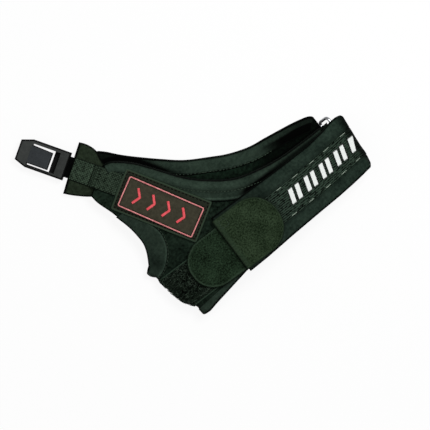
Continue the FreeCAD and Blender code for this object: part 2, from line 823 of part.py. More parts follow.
def strap_outline():
    top_left = (strap_end_x, strap_top_y)
    low_left = (strap_end_x, strap_low_y)
    top_taper = (taper_x, strap_top_y)
    low_taper = (taper_x, strap_low_y + strap_drift)
    top_right = (strap_right_x, panel_top_right_y)
    low_right = (strap_right_x, leg_low_y - fold_side_gap)
    middle_x = ring_outer_x - strap_taper / 2
    top_middle = (middle_x, (strap_top_y + panel_top_right_y) / 2)
    low_middle = (middle_x, (low_taper[1] + low_right[1]) / 2)
    return prism([
        [low_left, low_taper],
        [low_taper, low_middle, low_right],
        [low_right, top_right],
        [top_right, top_middle, top_taper],
        [top_taper, top_left],
        [top_left, low_left],
    ])


def make_wrist_strap():
    return strap_layer(strap_low, strap_top, strap_end_x - past).common(strap_outline())


def make_strap_fold():
    return fold_layer(strap_low, strap_top, leg_low_y, panel_top_right_y - edge_set_back)


def tape_plan(half, start_x, end_x):
    """Plan strip along the tape's gently rising middle line."""
    span = ring_outer_x - tape_start_x
    middle = []
    for x in (start_x, (start_x + end_x) / 2, end_x):
        share = (x - tape_start_x) / span
        middle.append((x, tape_middle_y + tape_rise * share * share))
    upper = [(x, y + half) for x, y in middle]
    lower = [(x, y - half) for x, y in middle]
    return prism([upper, [upper[-1], lower[-1]], lower[::-1], [lower[0], upper[0]]])


def cover_plan():
    return round_ended(strap_end_x, cover_end_x, cover_low_y, cover_top_y, False, True)


def make_strap_tape():
    start_x = tape_start_x - tape_under_cover
    layer = strap_layer(strap_top, tape_top, start_x - past)
    return layer.common(tape_plan(tape_wide / 2, start_x, strap_right_x)).cut(cover_plan())


def make_tape_fold():
    y1 = tape_middle_y + tape_rise + tape_wide / 2
    return fold_layer(strap_top, tape_top, y1 - tape_wide, y1)


def make_strap_stitches():
    """Long thread dashes in two rows down the tape."""
    layer = strap_layer(tape_top, print_top, tape_start_x)
    span = ring_outer_x - tape_start_x
    dashes = []
    for side in (-1, 1):
        for number in range(int((fold_centre[0] - dash_start_x) / dash_pitch)):
            x = dash_start_x + number * dash_pitch
            share = (x - tape_start_x) / span
            y = tape_middle_y + side * dash_rows_apart / 2 + tape_rise * share * share
            half = dash_wide / 2
            far = x + dash_long
            plan = [(x, y - half), (far, y - half), (far, y + half), (x, y + half)]
            dashes.append(layer.common(polygon_prism(plan)))
    return Part.makeCompound([s for d in dashes for s in d.Solids])


def make_reflective_bars():
    """Slanted reflective bars in pairs along the middle of the tape."""
    layer = strap_layer(tape_top, print_top, tape_start_x)
    bars = []
    for number in range(bar_count):
        for twin in (0, 1):
            x = bar_start_x + number * bar_pitch + twin * (bar_wide + bar_gap)
            low_y = tape_middle_y + bar_shift_y - bar_high / 2
            high_y = low_y + bar_high
            far = x + bar_wide
            plan = [(x, low_y), (far, low_y), (far + bar_slant, high_y), (x + bar_slant, high_y)]
            bars.append(layer.common(polygon_prism(plan)))
    return Part.makeCompound([s for b in bars for s in b.Solids])


def make_strap_end_cover():
    return strap_layer(strap_top, cover_top, strap_end_x - past).common(cover_plan())


def make_box_stitch():
    """Square of thread that holds the cover and the hook tab to the strap's end."""
    half = box_stitch_side / 2
    x, y = box_stitch_x, box_stitch_y
    outer = [(x - half, y - half), (x + half, y - half), (x + half, y + half), (x - half, y + half)]
    inset = half - dash_wide
    inner = [(x - inset, y - inset), (x + inset, y - inset), (x + inset, y + inset),
             (x - inset, y + inset)]
    square = polygon_prism(outer).cut(polygon_prism(inner))
    return strap_layer(cover_top, cover_top + print_thick, strap_end_x - past).common(square)


# ---- hook tab ------------------------------------------------------------------------------------------
def tab_plan(inset):
    end_x = strap_end_x - lay_gap
    start_x = end_x - tab_long + inset
    return round_ended(start_x, end_x, tab_low_y + inset, tab_top_y - inset, True, False)


def tab_layer(low, high):
    start = arch_angle(strap_end_x - tab_long - cut_margin, low)
    end = arch_angle(strap_end_x + cut_margin, low)
    return arch_strip(start, end, low, high, strap_low_y - cut_margin, strap_top_y + cut_margin)


def make_hook_tab():
    return tab_layer(hook_top, tab_top).common(tab_plan(0))


def make_hook_field():
    return tab_layer(strap_low, hook_top).common(tab_plan(hook_inset))


makers = {
    "back_panel": make_back_panel,
    "back_top_binding": make_back_top_binding,
    "thumb_facing": make_thumb_facing,
    "wrist_binding": make_wrist_binding,
    "loop_strip": make_loop_strip,
    "rubber_patch": make_rubber_patch,
    "patch_border": make_patch_border,
    "patch_motif": make_patch_motif,
    "palm_panel": make_palm_panel,
    "palm_top_binding": make_palm_top_binding,
    "wrist_gusset": make_wrist_gusset,
    "ring_holder": make_ring_holder,
    "ring": make_ring,
    "flared_end": make_flared_end,
    "clip_loop": make_clip_loop,
    "clip_webbing": make_clip_webbing,
    "clip_body": make_clip_body,
    "hinge_pin": make_hinge_pin,
    "latch_tongue": make_latch_tongue,
    "wrist_strap": make_wrist_strap,
    "strap_fold": make_strap_fold,
    "strap_tape": make_strap_tape,
    "tape_fold": make_tape_fold,
    "strap_stitches": make_strap_stitches,
    "reflective_bars": make_reflective_bars,
    "strap_end_cover": make_strap_end_cover,
    "box_stitch": make_box_stitch,
    "hook_tab": make_hook_tab,
    "hook_field": make_hook_field,
}


def build():
    """Makes every piece, moved so that the origin is under the middle of the footprint."""
    shapes = {}
    for name, make in makers.items():
        shape = make()
        shape.translate(Vector(-footprint_centre_x, -footprint_centre_y, 0))
        shapes[name] = shape
    return shapes


if __name__ == "__main__":
    os.makedirs("parts", exist_ok=True)
    whole = Part.makeCompound([])
    for name, shape in build().items():
        shape.exportStep("parts/" + name + ".step")
        whole.add(shape)
        box = shape.BoundBox
        print(f"{name:18s} solids {len(shape.Solids)} volume {shape.Volume:9.1f} valid {shape.isValid()}"
              f"  x {box.XMin:6.1f} {box.XMax:6.1f}  y {box.YMin:6.1f} {box.YMax:6.1f}"
              f"  z {box.ZMin:5.2f} {box.ZMax:5.2f}")
    box = whole.BoundBox
    print(f"whole: x {box.XMin:.2f} {box.XMax:.2f}  y {box.YMin:.2f} {box.YMax:.2f}"
          f"  z {box.ZMin:.2f} {box.ZMax:.2f}")
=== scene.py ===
"""Clip-on pole wrist strap for a right hand, lying on its palm panel.

Sizes are in millimetres in the comments and values below, and in metres on the finished meshes.
"""
import math
import bmesh
import bpy
import numpy as np
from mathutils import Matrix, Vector


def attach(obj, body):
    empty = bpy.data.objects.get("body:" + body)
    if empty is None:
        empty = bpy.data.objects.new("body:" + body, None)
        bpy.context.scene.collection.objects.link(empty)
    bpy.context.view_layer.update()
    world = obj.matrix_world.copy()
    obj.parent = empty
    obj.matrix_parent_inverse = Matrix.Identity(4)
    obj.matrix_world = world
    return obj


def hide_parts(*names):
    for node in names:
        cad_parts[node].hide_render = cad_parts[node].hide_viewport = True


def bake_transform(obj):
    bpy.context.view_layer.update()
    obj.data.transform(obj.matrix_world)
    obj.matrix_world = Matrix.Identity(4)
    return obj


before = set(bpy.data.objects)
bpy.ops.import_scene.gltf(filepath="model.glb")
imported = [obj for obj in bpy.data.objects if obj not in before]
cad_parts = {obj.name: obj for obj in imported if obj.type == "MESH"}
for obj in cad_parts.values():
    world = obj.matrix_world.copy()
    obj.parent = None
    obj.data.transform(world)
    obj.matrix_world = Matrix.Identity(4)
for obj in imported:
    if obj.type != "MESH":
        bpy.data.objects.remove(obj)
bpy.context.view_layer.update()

# ==== Palm panel =============================================================================
# The palm side of the guard: 3 mm neoprene faced with fine jersey knit, cut to shape and left
# with a soft rounded edge. It is the layer that everything else is sewn to.
MM = 0.001
LAYOUT = np.array([0.54, -0.5, 0.0])      # the drawing's origin, seen from the middle of the box
NEOPRENE = 3.0
MIDDLE_UP = NEOPRENE / 2
EDGE_STEPS = np.array([0.0, 0.08, 0.25, 0.5, 0.85, 1.3, 1.9, 2.6])


def even(line, shares):
    """Points on a broken line at shares of its length: P(s) by linear interpolation over the
    running length, the sum of the straight steps."""
    line = np.asarray(line, float)
    run = np.concatenate([[0], np.cumsum(np.linalg.norm(np.diff(line, axis=0), axis=1))])
    return np.stack([np.interp(np.asarray(shares) * run[-1], run, c) for c in line.T], axis=1)


def smooth(points, fine=16):
    """A smooth curve through points (Catmull-Rom): between b and c, with neighbours a and d,
    P(u) = half of [2b + (c - a) u + (2a - 5b + 4c - d) u^2 + (3b - a - 3c + d) u^3]."""
    p = np.asarray(points, float)
    p = np.vstack([2 * p[0] - p[1], p, 2 * p[-1] - p[-2]])
    a, b, c, d = p[:-3, None], p[1:-2, None], p[2:-1, None], p[3:, None]
    u = np.linspace(0, 1, fine, endpoint=False)[None, :, None]
    curve = 0.5 * (2 * b + (c - a) * u + (2 * a - 5 * b + 4 * c - d) * u ** 2
                   + (3 * b - a - 3 * c + d) * u ** 3)
    return np.vstack([curve.reshape(-1, p.shape[1]), p[-2]])


def length_of(line):
    """Length of a broken line: the sum of its straight steps."""
    return np.linalg.norm(np.diff(line, axis=0), axis=1).sum()


def stations(length, step):
    """Shares of a length, closer together near both ends, where the edge is rounded."""
    near = EDGE_STEPS * min(1.0, length / (2.6 * EDGE_STEPS[-1]))
    count = max(2, int((length - 2 * near[-1]) / step) + 1)
    middle = np.linspace(near[-1], length - near[-1], count + 1)[1:-1]
    return np.concatenate([near, middle, length - near[::-1]]) / length


def between(upper, lower, step):
    """Grid from an upper edge U(t) to a lower one L(t): P(t, s) = U(t) + s (L(t) - U(t)), with
    the s values closer together near both edges."""
    span = np.linalg.norm(lower - upper, axis=1)[:, None]
    near = EDGE_STEPS[None] * np.minimum(1, span / (2.6 * EDGE_STEPS[-1]))
    inner = np.linspace(0, 1, max(2, int(np.median(span) / step)) + 1)[1:-1][None]
    middle = near[:, -1:] + inner * (span - 2 * near[:, -1:])
    share = np.hstack([near, middle, span - near[:, ::-1]]) / span
    return upper[:, None] + share[..., None] * (lower - upper)[:, None]


def grid_outline(grid):
    """The closed outline of a grid of points: its four sides one after another."""
    return np.vstack([grid[:, 0], grid[-1, 1:], grid[-2::-1, -1], grid[0, -2::-1]])


def distance_to(points, line):
    """Least distance from plan points to a broken line: over its sides A to B, the length of
    P - A - clip((P - A).(B - A) / |B - A|^2, 0, 1) (B - A)."""
    best = np.full(points.shape[:-1], 1e9)
    for a, b in zip(line[:-1], line[1:]):
        side = b - a
        square = side @ side
        if square < 1e-9:
            continue
        share = np.clip(((points - a) @ side) / square, 0, 1)
        best = np.minimum(best, np.linalg.norm(points - a - share[..., None] * side, axis=-1))
    return best


def rounding(distance, radius):
    """How full the thickness is near an edge: sqrt(1 - (1 - d / r)^2), 1 from r inwards."""
    return np.sqrt(1 - (1 - np.clip(distance / radius, 0, 1)) ** 2)


def plan_rounding(plan, radius):
    """Rounding of every point of a plan grid by its distance to the grid's own outline, and 0 on
    the border itself."""
    outline = even(grid_outline(plan), np.linspace(0, 1, 260))
    full = rounding(distance_to(plan, outline), radius)
    full[[0, -1]] = 0
    full[:, [0, -1]] = 0
    return full


def make_object(name, points, faces, uv=None, marks=None):
    """A smooth-shaded object from points in millimetres, with a UV map in millimetres and
    point attributes by name."""
    mesh = bpy.data.meshes.new(name)
    mesh.from_pydata(((points + LAYOUT) * MM).tolist(), [], faces)
    mesh.polygons.foreach_set("use_smooth", np.ones(len(mesh.polygons), bool))
    if uv is not None:
        corner = np.zeros(len(mesh.loops), np.int32)
        mesh.loops.foreach_get("vertex_index", corner)
        layer = mesh.uv_layers.new(name="cloth")
        layer.data.foreach_set("uv", uv[corner].astype(np.float32).ravel())
    for mark, values in (marks or {}).items():
        attribute = mesh.attributes.new(mark, "FLOAT", "POINT")
        attribute.data.foreach_set("value", values.astype(np.float32).ravel())
    mesh.update()
    made = bpy.data.objects.new(name, mesh)
    bpy.context.scene.collection.objects.link(made)
    return made


def surface_normal(middle):
    """Unit normals of a grid: the cross product of its steps along both directions, turned
    upwards on the whole, and whether that took a turn."""
    normal = np.cross(np.gradient(middle, axis=0), np.gradient(middle, axis=1))
    normal /= np.linalg.norm(normal, axis=-1, keepdims=True) + 1e-12
    upside_down = normal[..., 2].mean() < 0
    return (-normal if upside_down else normal), upside_down


def eased(value, low, high):
    """Smoothstep: 3t^2 - 2t^3 of t = (value - low) / (high - low), held to 0..1."""
    t = np.clip((value - low) / (high - low), 0, 1)
    return t * t * (3 - 2 * t)


def closed_sheet(name, middle, half, uv=None, relief=None, marks=None, tone=None, edge=-0.93):
    """A closed sheet about a middle surface M with unit normal n: the faces are M + (h + r) n
    above and M - h n below, and they meet along the border, where h is 0. The tone mark tells
    how much lighter or darker the cloth is, painted shade and highlights among it. Rounded cut
    edges and steep sides are as dark as edge says: painted shade, and on neoprene also the
    black foam of its cut edge."""
    normal, upside_down = surface_normal(middle)
    rows, columns = middle.shape[:2]
    lift = half if relief is None else half + relief * np.minimum(1, half / half.max() * 1.5)
    above = middle + normal * lift[..., None]
    below = middle - normal * half[..., None]
    number = np.arange(rows * columns).reshape(rows, columns)
    inside = np.zeros((rows, columns), bool)
    inside[1:-1, 1:-1] = True
    under = number.copy()
    under[inside] = rows * columns + np.arange(inside.sum())
    points = np.vstack([above.reshape(-1, 3), below[inside]])

    def quads(n, flip):
        """Four-sided faces between the rows of a grid of point numbers, turned over by flip."""
        q = np.stack([n[:-1, :-1], n[1:, :-1], n[1:, 1:], n[:-1, 1:]], axis=-1).reshape(-1, 4)
        return q[:, ::-1] if flip else q

    faces = np.vstack([quads(number, upside_down), quads(under, not upside_down)]).tolist()

    def both(values):
        """The upper face's values, then the same for the lower face's inner points."""
        flat = values.reshape(rows * columns, -1)
        return np.vstack([flat, flat[inside.ravel()]])

    uv = None if uv is None else both(uv)
    # painted shade: steep sides and rounded edges take the edge value, on neoprene also its black foam
    steep = 1 - eased(np.abs(normal[..., 2]), 0.3, 0.62)
    rim = np.maximum(1 - eased(half / np.median(half), 0.88, 0.997), steep)
    tone = np.zeros(half.shape) if tone is None else tone
    tone = np.clip(tone, -0.99, 1.5) * (1 - rim) + edge * rim
    marks = {key: both(value) for key, value in {"tone": tone, **(marks or {})}.items()}
    return make_object(name, points, faces, uv, marks)


def paint(red, green, blue):
    """A colour written as it shows on a screen, from 0 to 255, as the shader's linear values."""
    c = np.array([red, green, blue]) / 255
    return (*np.where(c <= 0.04045, c / 12.92, ((c + 0.055) / 1.055) ** 2.4), 1.0)


def new_group(name, inputs, outputs):
    """A shader node group with named sockets, and short ways to add and join its nodes."""
    tree = bpy.data.node_groups.new(name, "ShaderNodeTree")
    for label, kind, value in inputs:
        socket = tree.interface.new_socket(label, in_out="INPUT", socket_type="NodeSocket" + kind)
        if value is not None:
            socket.default_value = value
    for label, kind in outputs:
        tree.interface.new_socket(label, in_out="OUTPUT", socket_type="NodeSocket" + kind)
    return tree, tree.nodes.new("NodeGroupInput"), tree.nodes.new("NodeGroupOutput")


def plug(tree, value, socket):
    """Joins a socket to another, or writes a plain value into it."""
    if isinstance(value, bpy.types.NodeSocket):
        tree.links.new(value, socket)
    else:
        socket.default_value = value


def maths(tree, operation, *values):
    """A Math node on sockets or plain numbers."""
    node = tree.nodes.new("ShaderNodeMath")
    node.operation = operation
    for value, socket in zip(values, node.inputs):
        plug(tree, value, socket)
    return node.outputs[0]


def noise(tree, vector, scale, detail=2.0, roughness=0.5):
    """Smooth noise at scale waves to a millimetre, from 0 to 1."""
    node = tree.nodes.new("ShaderNodeTexNoise")
    plug(tree, vector, node.inputs["Vector"])
    plug(tree, scale, node.inputs["Scale"])
    node.inputs["Detail"].default_value = detail
    node.inputs["Roughness"].default_value = roughness
    return node.outputs["Fac"]


def mix_colour(tree, share, first, second):
    """first + share (second - first)."""
    node = tree.nodes.new("ShaderNodeMix")
    node.data_type = "RGBA"
    plug(tree, share, node.inputs["Factor"])
    plug(tree, first, node.inputs["A"])
    plug(tree, second, node.inputs["B"])
    return node.outputs["Result"]


def ramp(tree, value, low, high, to_low=0.0, to_high=1.0):
    """The value from low..high mapped to to_low..to_high, and held there."""
    node = tree.nodes.new("ShaderNodeMapRange")
    for given, label in zip((value, low, high, to_low, to_high),
                            ("Value", "From Min", "From Max", "To Min", "To Max")):
        plug(tree, given, node.inputs[label])
    return node.outputs["Result"]


def split(tree, vector):
    """A vector's three parts."""
    node = tree.nodes.new("ShaderNodeSeparateXYZ")
    plug(tree, vector, node.inputs[0])
    return node.outputs


def tally(tree, start, *terms):
    """start + the sum over the terms of weight (value - 0.5), as a share between two colours."""
    for value, weight in terms:
        step = maths(tree, "MULTIPLY", maths(tree, "SUBTRACT", value, 0.5), weight)
        start = maths(tree, "ADD", start, step)
    return start


def jersey_group():
    """Fine knit: rows of V-shaped loops, h = |sin(pi (x + 0.3 |sin(pi y)|))|, over mottling some
    2 mm across, slow clouding and stray fibres. Lengths are millimetres of the cloth."""
    tree, given, result = new_group(
        "jersey knit",
        [("Vector", "Vector", None), ("Shade", "Color", None), ("Light", "Color", None),
         ("Loops", "Float", 1.6), ("Mottle", "Float", 1.5), ("Lint", "Float", 0.25)],
        [("Color", "Color"), ("Roughness", "Float"), ("Height", "Float")])
    x, y, z = split(tree, given.outputs["Vector"])
    along = maths(tree, "MULTIPLY", y, maths(tree, "MULTIPLY", given.outputs["Loops"], math.pi))
    arch = maths(tree, "MULTIPLY", maths(tree, "ABSOLUTE", maths(tree, "SINE", along)), 0.3)
    across = maths(tree, "ADD", maths(tree, "MULTIPLY", x, given.outputs["Loops"]), arch)
    loop = maths(tree, "ABSOLUTE", maths(tree, "SINE", maths(tree, "MULTIPLY", across, math.pi)))
    fibre = noise(tree, given.outputs["Vector"], 3.2, 3.0, 0.65)
    mottle = noise(tree, given.outputs["Vector"], 0.5, 3.0, 0.6)
    cloud = noise(tree, given.outputs["Vector"], 0.08, 2.0, 0.5)
    lint = ramp(tree, noise(tree, given.outputs["Vector"], 1.1, 2.0, 0.5), 0.62, 0.74)
    tone = tally(tree, 0.45, (loop, 0.2), (fibre, 0.8), (mottle, given.outputs["Mottle"]), (cloud, 1.2))
    tone = maths(tree, "ADD", tone, maths(tree, "MULTIPLY", lint, given.outputs["Lint"]))
    colour = mix_colour(tree, tone, given.outputs["Shade"], given.outputs["Light"])
    tree.links.new(colour, result.inputs["Color"])
    tree.links.new(ramp(tree, fibre, 0.3, 0.7, 0.78, 0.95), result.inputs["Roughness"])
    height = maths(tree, "ADD", maths(tree, "MULTIPLY", loop, 0.6), maths(tree, "MULTIPLY", fibre, 0.5))
    tree.links.new(height, result.inputs["Height"])
    return tree


def material(name, effect, settings, vector="cloth", scale=1.0, bump=0.2, depth=0.2, sheen=0.0,
             sheen_tint=None, specular=0.03, metallic=0.0, roughness=None, mask=None):
    """A Principled material fed by one effect group. The vector is the cloth UV map in
    millimetres, or object coordinates turned into millimetres; mask names a group input that
    is read from the point attribute of that name."""
    made = bpy.data.materials.new(name)
    made.use_nodes = True
    tree = made.node_tree
    shader = tree.nodes["Principled BSDF"]
    shader.inputs["Specular IOR Level"].default_value = specular
    shader.inputs["Metallic"].default_value = metallic
    if sheen:
        shader.inputs["Sheen Weight"].default_value = sheen
        shader.inputs["Sheen Roughness"].default_value = 0.45
        shader.inputs["Sheen Tint"].default_value = sheen_tint or paint(120, 150, 128)
    if vector == "cloth":
        source = tree.nodes.new("ShaderNodeUVMap")
        source.uv_map = "cloth"
        place, grow = source.outputs[0], scale
    else:
        source = tree.nodes.new("ShaderNodeTexCoord")
        place, grow = source.outputs["Object"], scale * 1000
    mapping = tree.nodes.new("ShaderNodeMapping")
    mapping.inputs["Scale"].default_value = (grow, grow, grow)
    tree.links.new(place, mapping.inputs["Vector"])
    node = tree.nodes.new("ShaderNodeGroup")
    node.node_tree = effect
    tree.links.new(mapping.outputs[0], node.inputs["Vector"])
    for label, value in settings.items():
        plug(tree, value, node.inputs[label])
    if mask:
        marked = tree.nodes.new("ShaderNodeAttribute")
        marked.attribute_name = mask.lower()
        tree.links.new(marked.outputs["Fac"], node.inputs[mask])
    # the tone attribute scales the base colour: painted shade and painted highlights, besides the cloth's own
    # lighter and darker places
    tone = tree.nodes.new("ShaderNodeAttribute")
    tone.attribute_name = "tone"
    toned = tree.nodes.new("ShaderNodeVectorMath")
    toned.operation = "SCALE"
    tree.links.new(node.outputs["Color"], toned.inputs[0])
    tree.links.new(maths(tree, "ADD", tone.outputs["Fac"], 1.0), toned.inputs["Scale"])
    tree.links.new(toned.outputs[0], shader.inputs["Base Color"])
    if roughness is None:
        tree.links.new(node.outputs["Roughness"], shader.inputs["Roughness"])
    else:
        shader.inputs["Roughness"].default_value = roughness
    relief = tree.nodes.new("ShaderNodeBump")
    relief.inputs["Strength"].default_value = bump
    relief.inputs["Distance"].default_value = depth * MM
    tree.links.new(node.outputs["Height"], relief.inputs["Height"])
    tree.links.new(relief.outputs[0], shader.inputs["Normal"])
    return made


def fit(piece, body, slot, finish, *nodes):
    """Gives a piece its material, its body and the CAD nodes it stands for, which it hides. The slot is not
    used.
    """
    piece.data.materials.clear()
    piece.data.materials.append(finish)
    if body:
        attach(piece, body)
    if nodes:
        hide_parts(*nodes)
    return piece


jersey = jersey_group()
palm_cloth = material(
    "palm jersey", jersey,
    {"Shade": paint(3, 7, 4), "Light": paint(24, 40, 29), "Loops": 1.7, "Mottle": 2.2},
    bump=0.35, depth=0.25, sheen=0.02)

palm_top_edge = smooth([
    (-47.8, 45.8), (-43.1, 41.4), (-37.4, 34.9), (-30, 27.6), (-18.1, 16.8), (-6.1, 6.9),
    (8.4, -1.5), (19.9, -7.4), (32.9, -11.7), (45.1, -13.4), (62.6, -16.0), (72.4, -18.1),
    (76.2, -19.6), (78.0, -21.6)])
palm_low_edge = np.vstack([
    smooth([(-65.5, 24.0), (-63.5, 17.5), (-60.0, 7.0), (-57.0, -6.0), (-55.8, -19.5),
            (-57.0, -30.0), (-58.4, -42.0)]),
    [(-49.3, -79.8), (-15.7, -73.4), (62.3, -71.0), (75.8, -66.9), (77.4, -40.0), (78.1, -27.0)]])
# the back of the hand's upper edge, which shades the palm's jersey beside it
hand_top_edge = smooth([
    (-50.8, 35.9), (-46.0, 35.0), (-41.4, 32.4), (-32.5, 24.2), (-23.0, 11.8), (-14.4, 0.0),
    (-7.5, -7.5), (-0.5, -13.6), (7.2, -19.2), (16.3, -23.7), (30.3, -27.2), (44.3, -29.2),
    (60.0, -29.6), (75.0, -29.3), (82.2, -28.95)])
steps = stations(length_of(palm_top_edge), 1.5)
palm_plan = between(even(palm_top_edge, steps), even(palm_low_edge, steps), 1.5)
palm_middle = np.dstack([palm_plan, np.full(palm_plan.shape[:2], MIDDLE_UP)])
palm_middle[..., 2] += 0.12 * np.sin(palm_plan[..., 0] / 9) * np.sin(palm_plan[..., 1] / 7)
palm_half = 1.36 * plan_rounding(palm_plan, 1.3)
palm_x = palm_plan[..., 0]
# painted shade beside the back of the hand's upper edge, wider towards the clip, and inside the guard towards
# the ring
from_hand = distance_to(palm_plan, even(hand_top_edge, np.linspace(0, 1, 120)))
shaded = (1 - eased(from_hand, 3.0, 6.5)) * (1 - eased(palm_x, -22, -8)) + (1 - eased(from_hand, 0.8, 2.4))
palm_painted_shade = -0.7 * np.clip(shaded, 0, 1) - 0.8 * eased(palm_x, 18, 40)
palm = closed_sheet("palm_neoprene", palm_middle, palm_half, palm_plan, tone=palm_painted_shade)
fit(palm, "guard", "neoprene", palm_cloth, "palm_panel")

# ==== Back of the hand =======================================================================
# The same neoprene over the back of the hand: it arches across the wrist, narrows to the clip
# webbing, and on the little-finger side is turned round under itself and sewn to the palm.
ARCH_X, ARCH_PEAK, ARCH_RADIUS = 7.0, 24.0, 148.3
ARCH_Z = ARCH_PEAK - ARCH_RADIUS
LEG_SLOPE = math.radians(26.9)
LEG_X = ARCH_X + ARCH_RADIUS * math.sin(LEG_SLOPE)
LEAD, LEAD_TURN = np.array([-86.6, 76.5]), math.radians(-56.6)     # the clip's nose and its line
HAND_END = 53.0                          # along the lead, where the panel starts
HAND_LOW = 6.4                           # height of the panel's inside there
HAND_LEFT, HAND_WIDE = -17.8, 33.3       # its left corner's side there, and its width
ARCH_LEFT_X = -68.0                      # the arch's free left end
BEND_Y = -28.0                           # the arch runs straight from here to the wrist
LEFT_SLOPE = math.radians(31)
GUSSET_Y, GUSSET_LONG = -42.0, 38.0      # where the gusset starts, and its length along Y


def on_line(start, turn, along, side):
    """Plan point at a distance along a line that leaves start at an angle, and a distance to
    its left: start + along (cos, sin) + side (-sin, cos)."""
    along, side = np.broadcast_arrays(np.asarray(along, float), side)
    x = start[0] + along * math.cos(turn) - side * math.sin(turn)
    y = start[1] + along * math.sin(turn) + side * math.cos(turn)
    return np.stack([x, y], axis=-1)


def on_lead(along, side):
    """Plan point in the lead's own frame: from the clip's nose along its line, and to the left."""
    return on_line(LEAD, LEAD_TURN, along, side)


def arch_height(x):
    """Inside of the wrist arch: the circle z = zc + sqrt(R^2 - (x - xc)^2), then its tangent
    line at the leg's slope to the right and at 31 degrees to the left."""
    left = ARCH_X - ARCH_RADIUS * math.sin(LEFT_SLOPE)
    inner = np.clip(x, left, LEG_X)
    circle = ARCH_Z + np.sqrt(ARCH_RADIUS ** 2 - (inner - ARCH_X) ** 2)
    fall = np.maximum(x - LEG_X, 0) * math.tan(LEG_SLOPE)
    return circle - fall - np.maximum(left - x, 0) * math.tan(LEFT_SLOPE)


def raw_shell(x, y):
    """Inside of the whole shell. Straight along Y below y = -28; above it, the lines that join
    the arch at angle a(f) to the panel's hand end at side s(f), with f found by halving so that
    the line passes over (x, y)."""
    left = math.asin((ARCH_LEFT_X - ARCH_X) / ARCH_RADIUS)
    low, high = np.full(x.shape, -0.6), np.full(x.shape, 1.6)
    for _ in range(26):
        f = (low + high) / 2
        turn = left + f * (LEG_SLOPE - left)
        end = on_lead(HAND_END, HAND_LEFT + HAND_WIDE * f)
        arch_at = ARCH_X + ARCH_RADIUS * np.sin(turn)
        g = np.clip((y - end[..., 1]) / (BEND_Y - end[..., 1]), 0, 1)
        beyond = end[..., 0] + g * (arch_at - end[..., 0]) > x
        high = np.where(beyond, f, high)
        low = np.where(beyond, low, f)
    ruled = HAND_LOW + g * (ARCH_Z + ARCH_RADIUS * np.cos(turn) - HAND_LOW)
    return np.where(y < BEND_Y, arch_height(x), ruled)


# the shell is worked out once on a 1 mm grid, with the bend near y = -28 eased over 12 mm, a
# dip by the thumb's corner and a slight swell under the strap's upper edge
grid_x, grid_y = np.arange(-84.0, 96.0), np.arange(-90.0, 62.0)
mesh_x, mesh_y = np.meshgrid(grid_x, grid_y, indexing="ij")
ease = np.array([1, 2, 3, 4, 3, 2, 1]) / 16
shell_grid = sum(w * raw_shell(mesh_x, mesh_y + 2.0 * k) for w, k in zip(ease, range(-3, 4)))
shell_grid -= 0.9 * np.exp(-((mesh_x + 52) / 11) ** 2 - ((mesh_y + 33) / 9) ** 2)
shell_grid += 0.5 * np.exp(-((mesh_x - 20) / 18) ** 2 - ((mesh_y + 26) / 5) ** 2)


def look_up(grid, x, y):
    """A height read from a 1 mm grid by bilinear interpolation."""
    column = np.clip(x - grid_x[0], 0, len(grid_x) - 2.001)
    row = np.clip(y - grid_y[0], 0, len(grid_y) - 2.001)
    i, j = column.astype(int), row.astype(int)
    u, v = column - i, row - j
    return ((1 - u) * (1 - v) * grid[i, j] + u * (1 - v) * grid[i + 1, j]
            + (1 - u) * v * grid[i, j + 1] + u * v * grid[i + 1, j + 1])


slope_x, slope_y = np.gradient(shell_grid)
slant_grid = np.sqrt(1 + slope_x ** 2 + slope_y ** 2)


def on_hand(x, y, offset):
    """Points at an offset outside the shell's inner face. Left of the gusset line the cloth's x
    is a length that runs round a turn: with slope q and turn radius r at that y, a point a
    beyond the line is at angle q + a / (r + 1.5) about the turn's centre. The turn fades in
    over y from -37 to -45, and its outline is waved as worn neoprene is."""
    x, y, offset = np.broadcast_arrays(np.asarray(x, float), y, offset)
    flat = np.stack([x, y, look_up(shell_grid, x, y) + offset * look_up(slant_grid, x, y)], axis=-1)
    share = np.clip((GUSSET_Y - y) / GUSSET_LONG, -0.1, 1.05)
    slope = np.radians(26.9 - 3.9 * share)
    meet_x = ARCH_X - ARCH_RADIUS * np.sin(slope)
    meet_z = ARCH_Z + ARCH_RADIUS * np.cos(slope)
    radius = (meet_z - NEOPRENE) / (1 + np.cos(slope))
    centre_x = meet_x + radius * np.sin(slope)
    past = np.maximum(ARCH_X - (ARCH_RADIUS + MIDDLE_UP) * np.sin(slope) - x, 0)
    turn = np.minimum(past / (radius + MIDDLE_UP), math.pi - slope)
    on_palm = np.maximum(past - (math.pi - slope) * (radius + MIDDLE_UP), 0)
    reach = radius + offset
    turned_x = centre_x - reach * np.sin(slope + turn) + on_palm
    turned_z = NEOPRENE + radius + reach * np.cos(slope + turn)
    turned = np.where((past > 0)[..., None], np.stack([turned_x, y, turned_z], axis=-1), flat)
    points = flat + eased(-y, 37.0, 45.0)[..., None] * (turned - flat)
    wave = np.interp(-y, [40, 45, 52.6, 58.6, 65.9, 69.5, 73.2, 77.9, 82],
                     [0, -1.0, -1.2, -1.3, -0.7, 1.2, 2.3, 1.9, 1.5])
    points[..., 0] += wave * (1 - eased(points[..., 0] - meet_x, -3.0, 9.0))
    return points


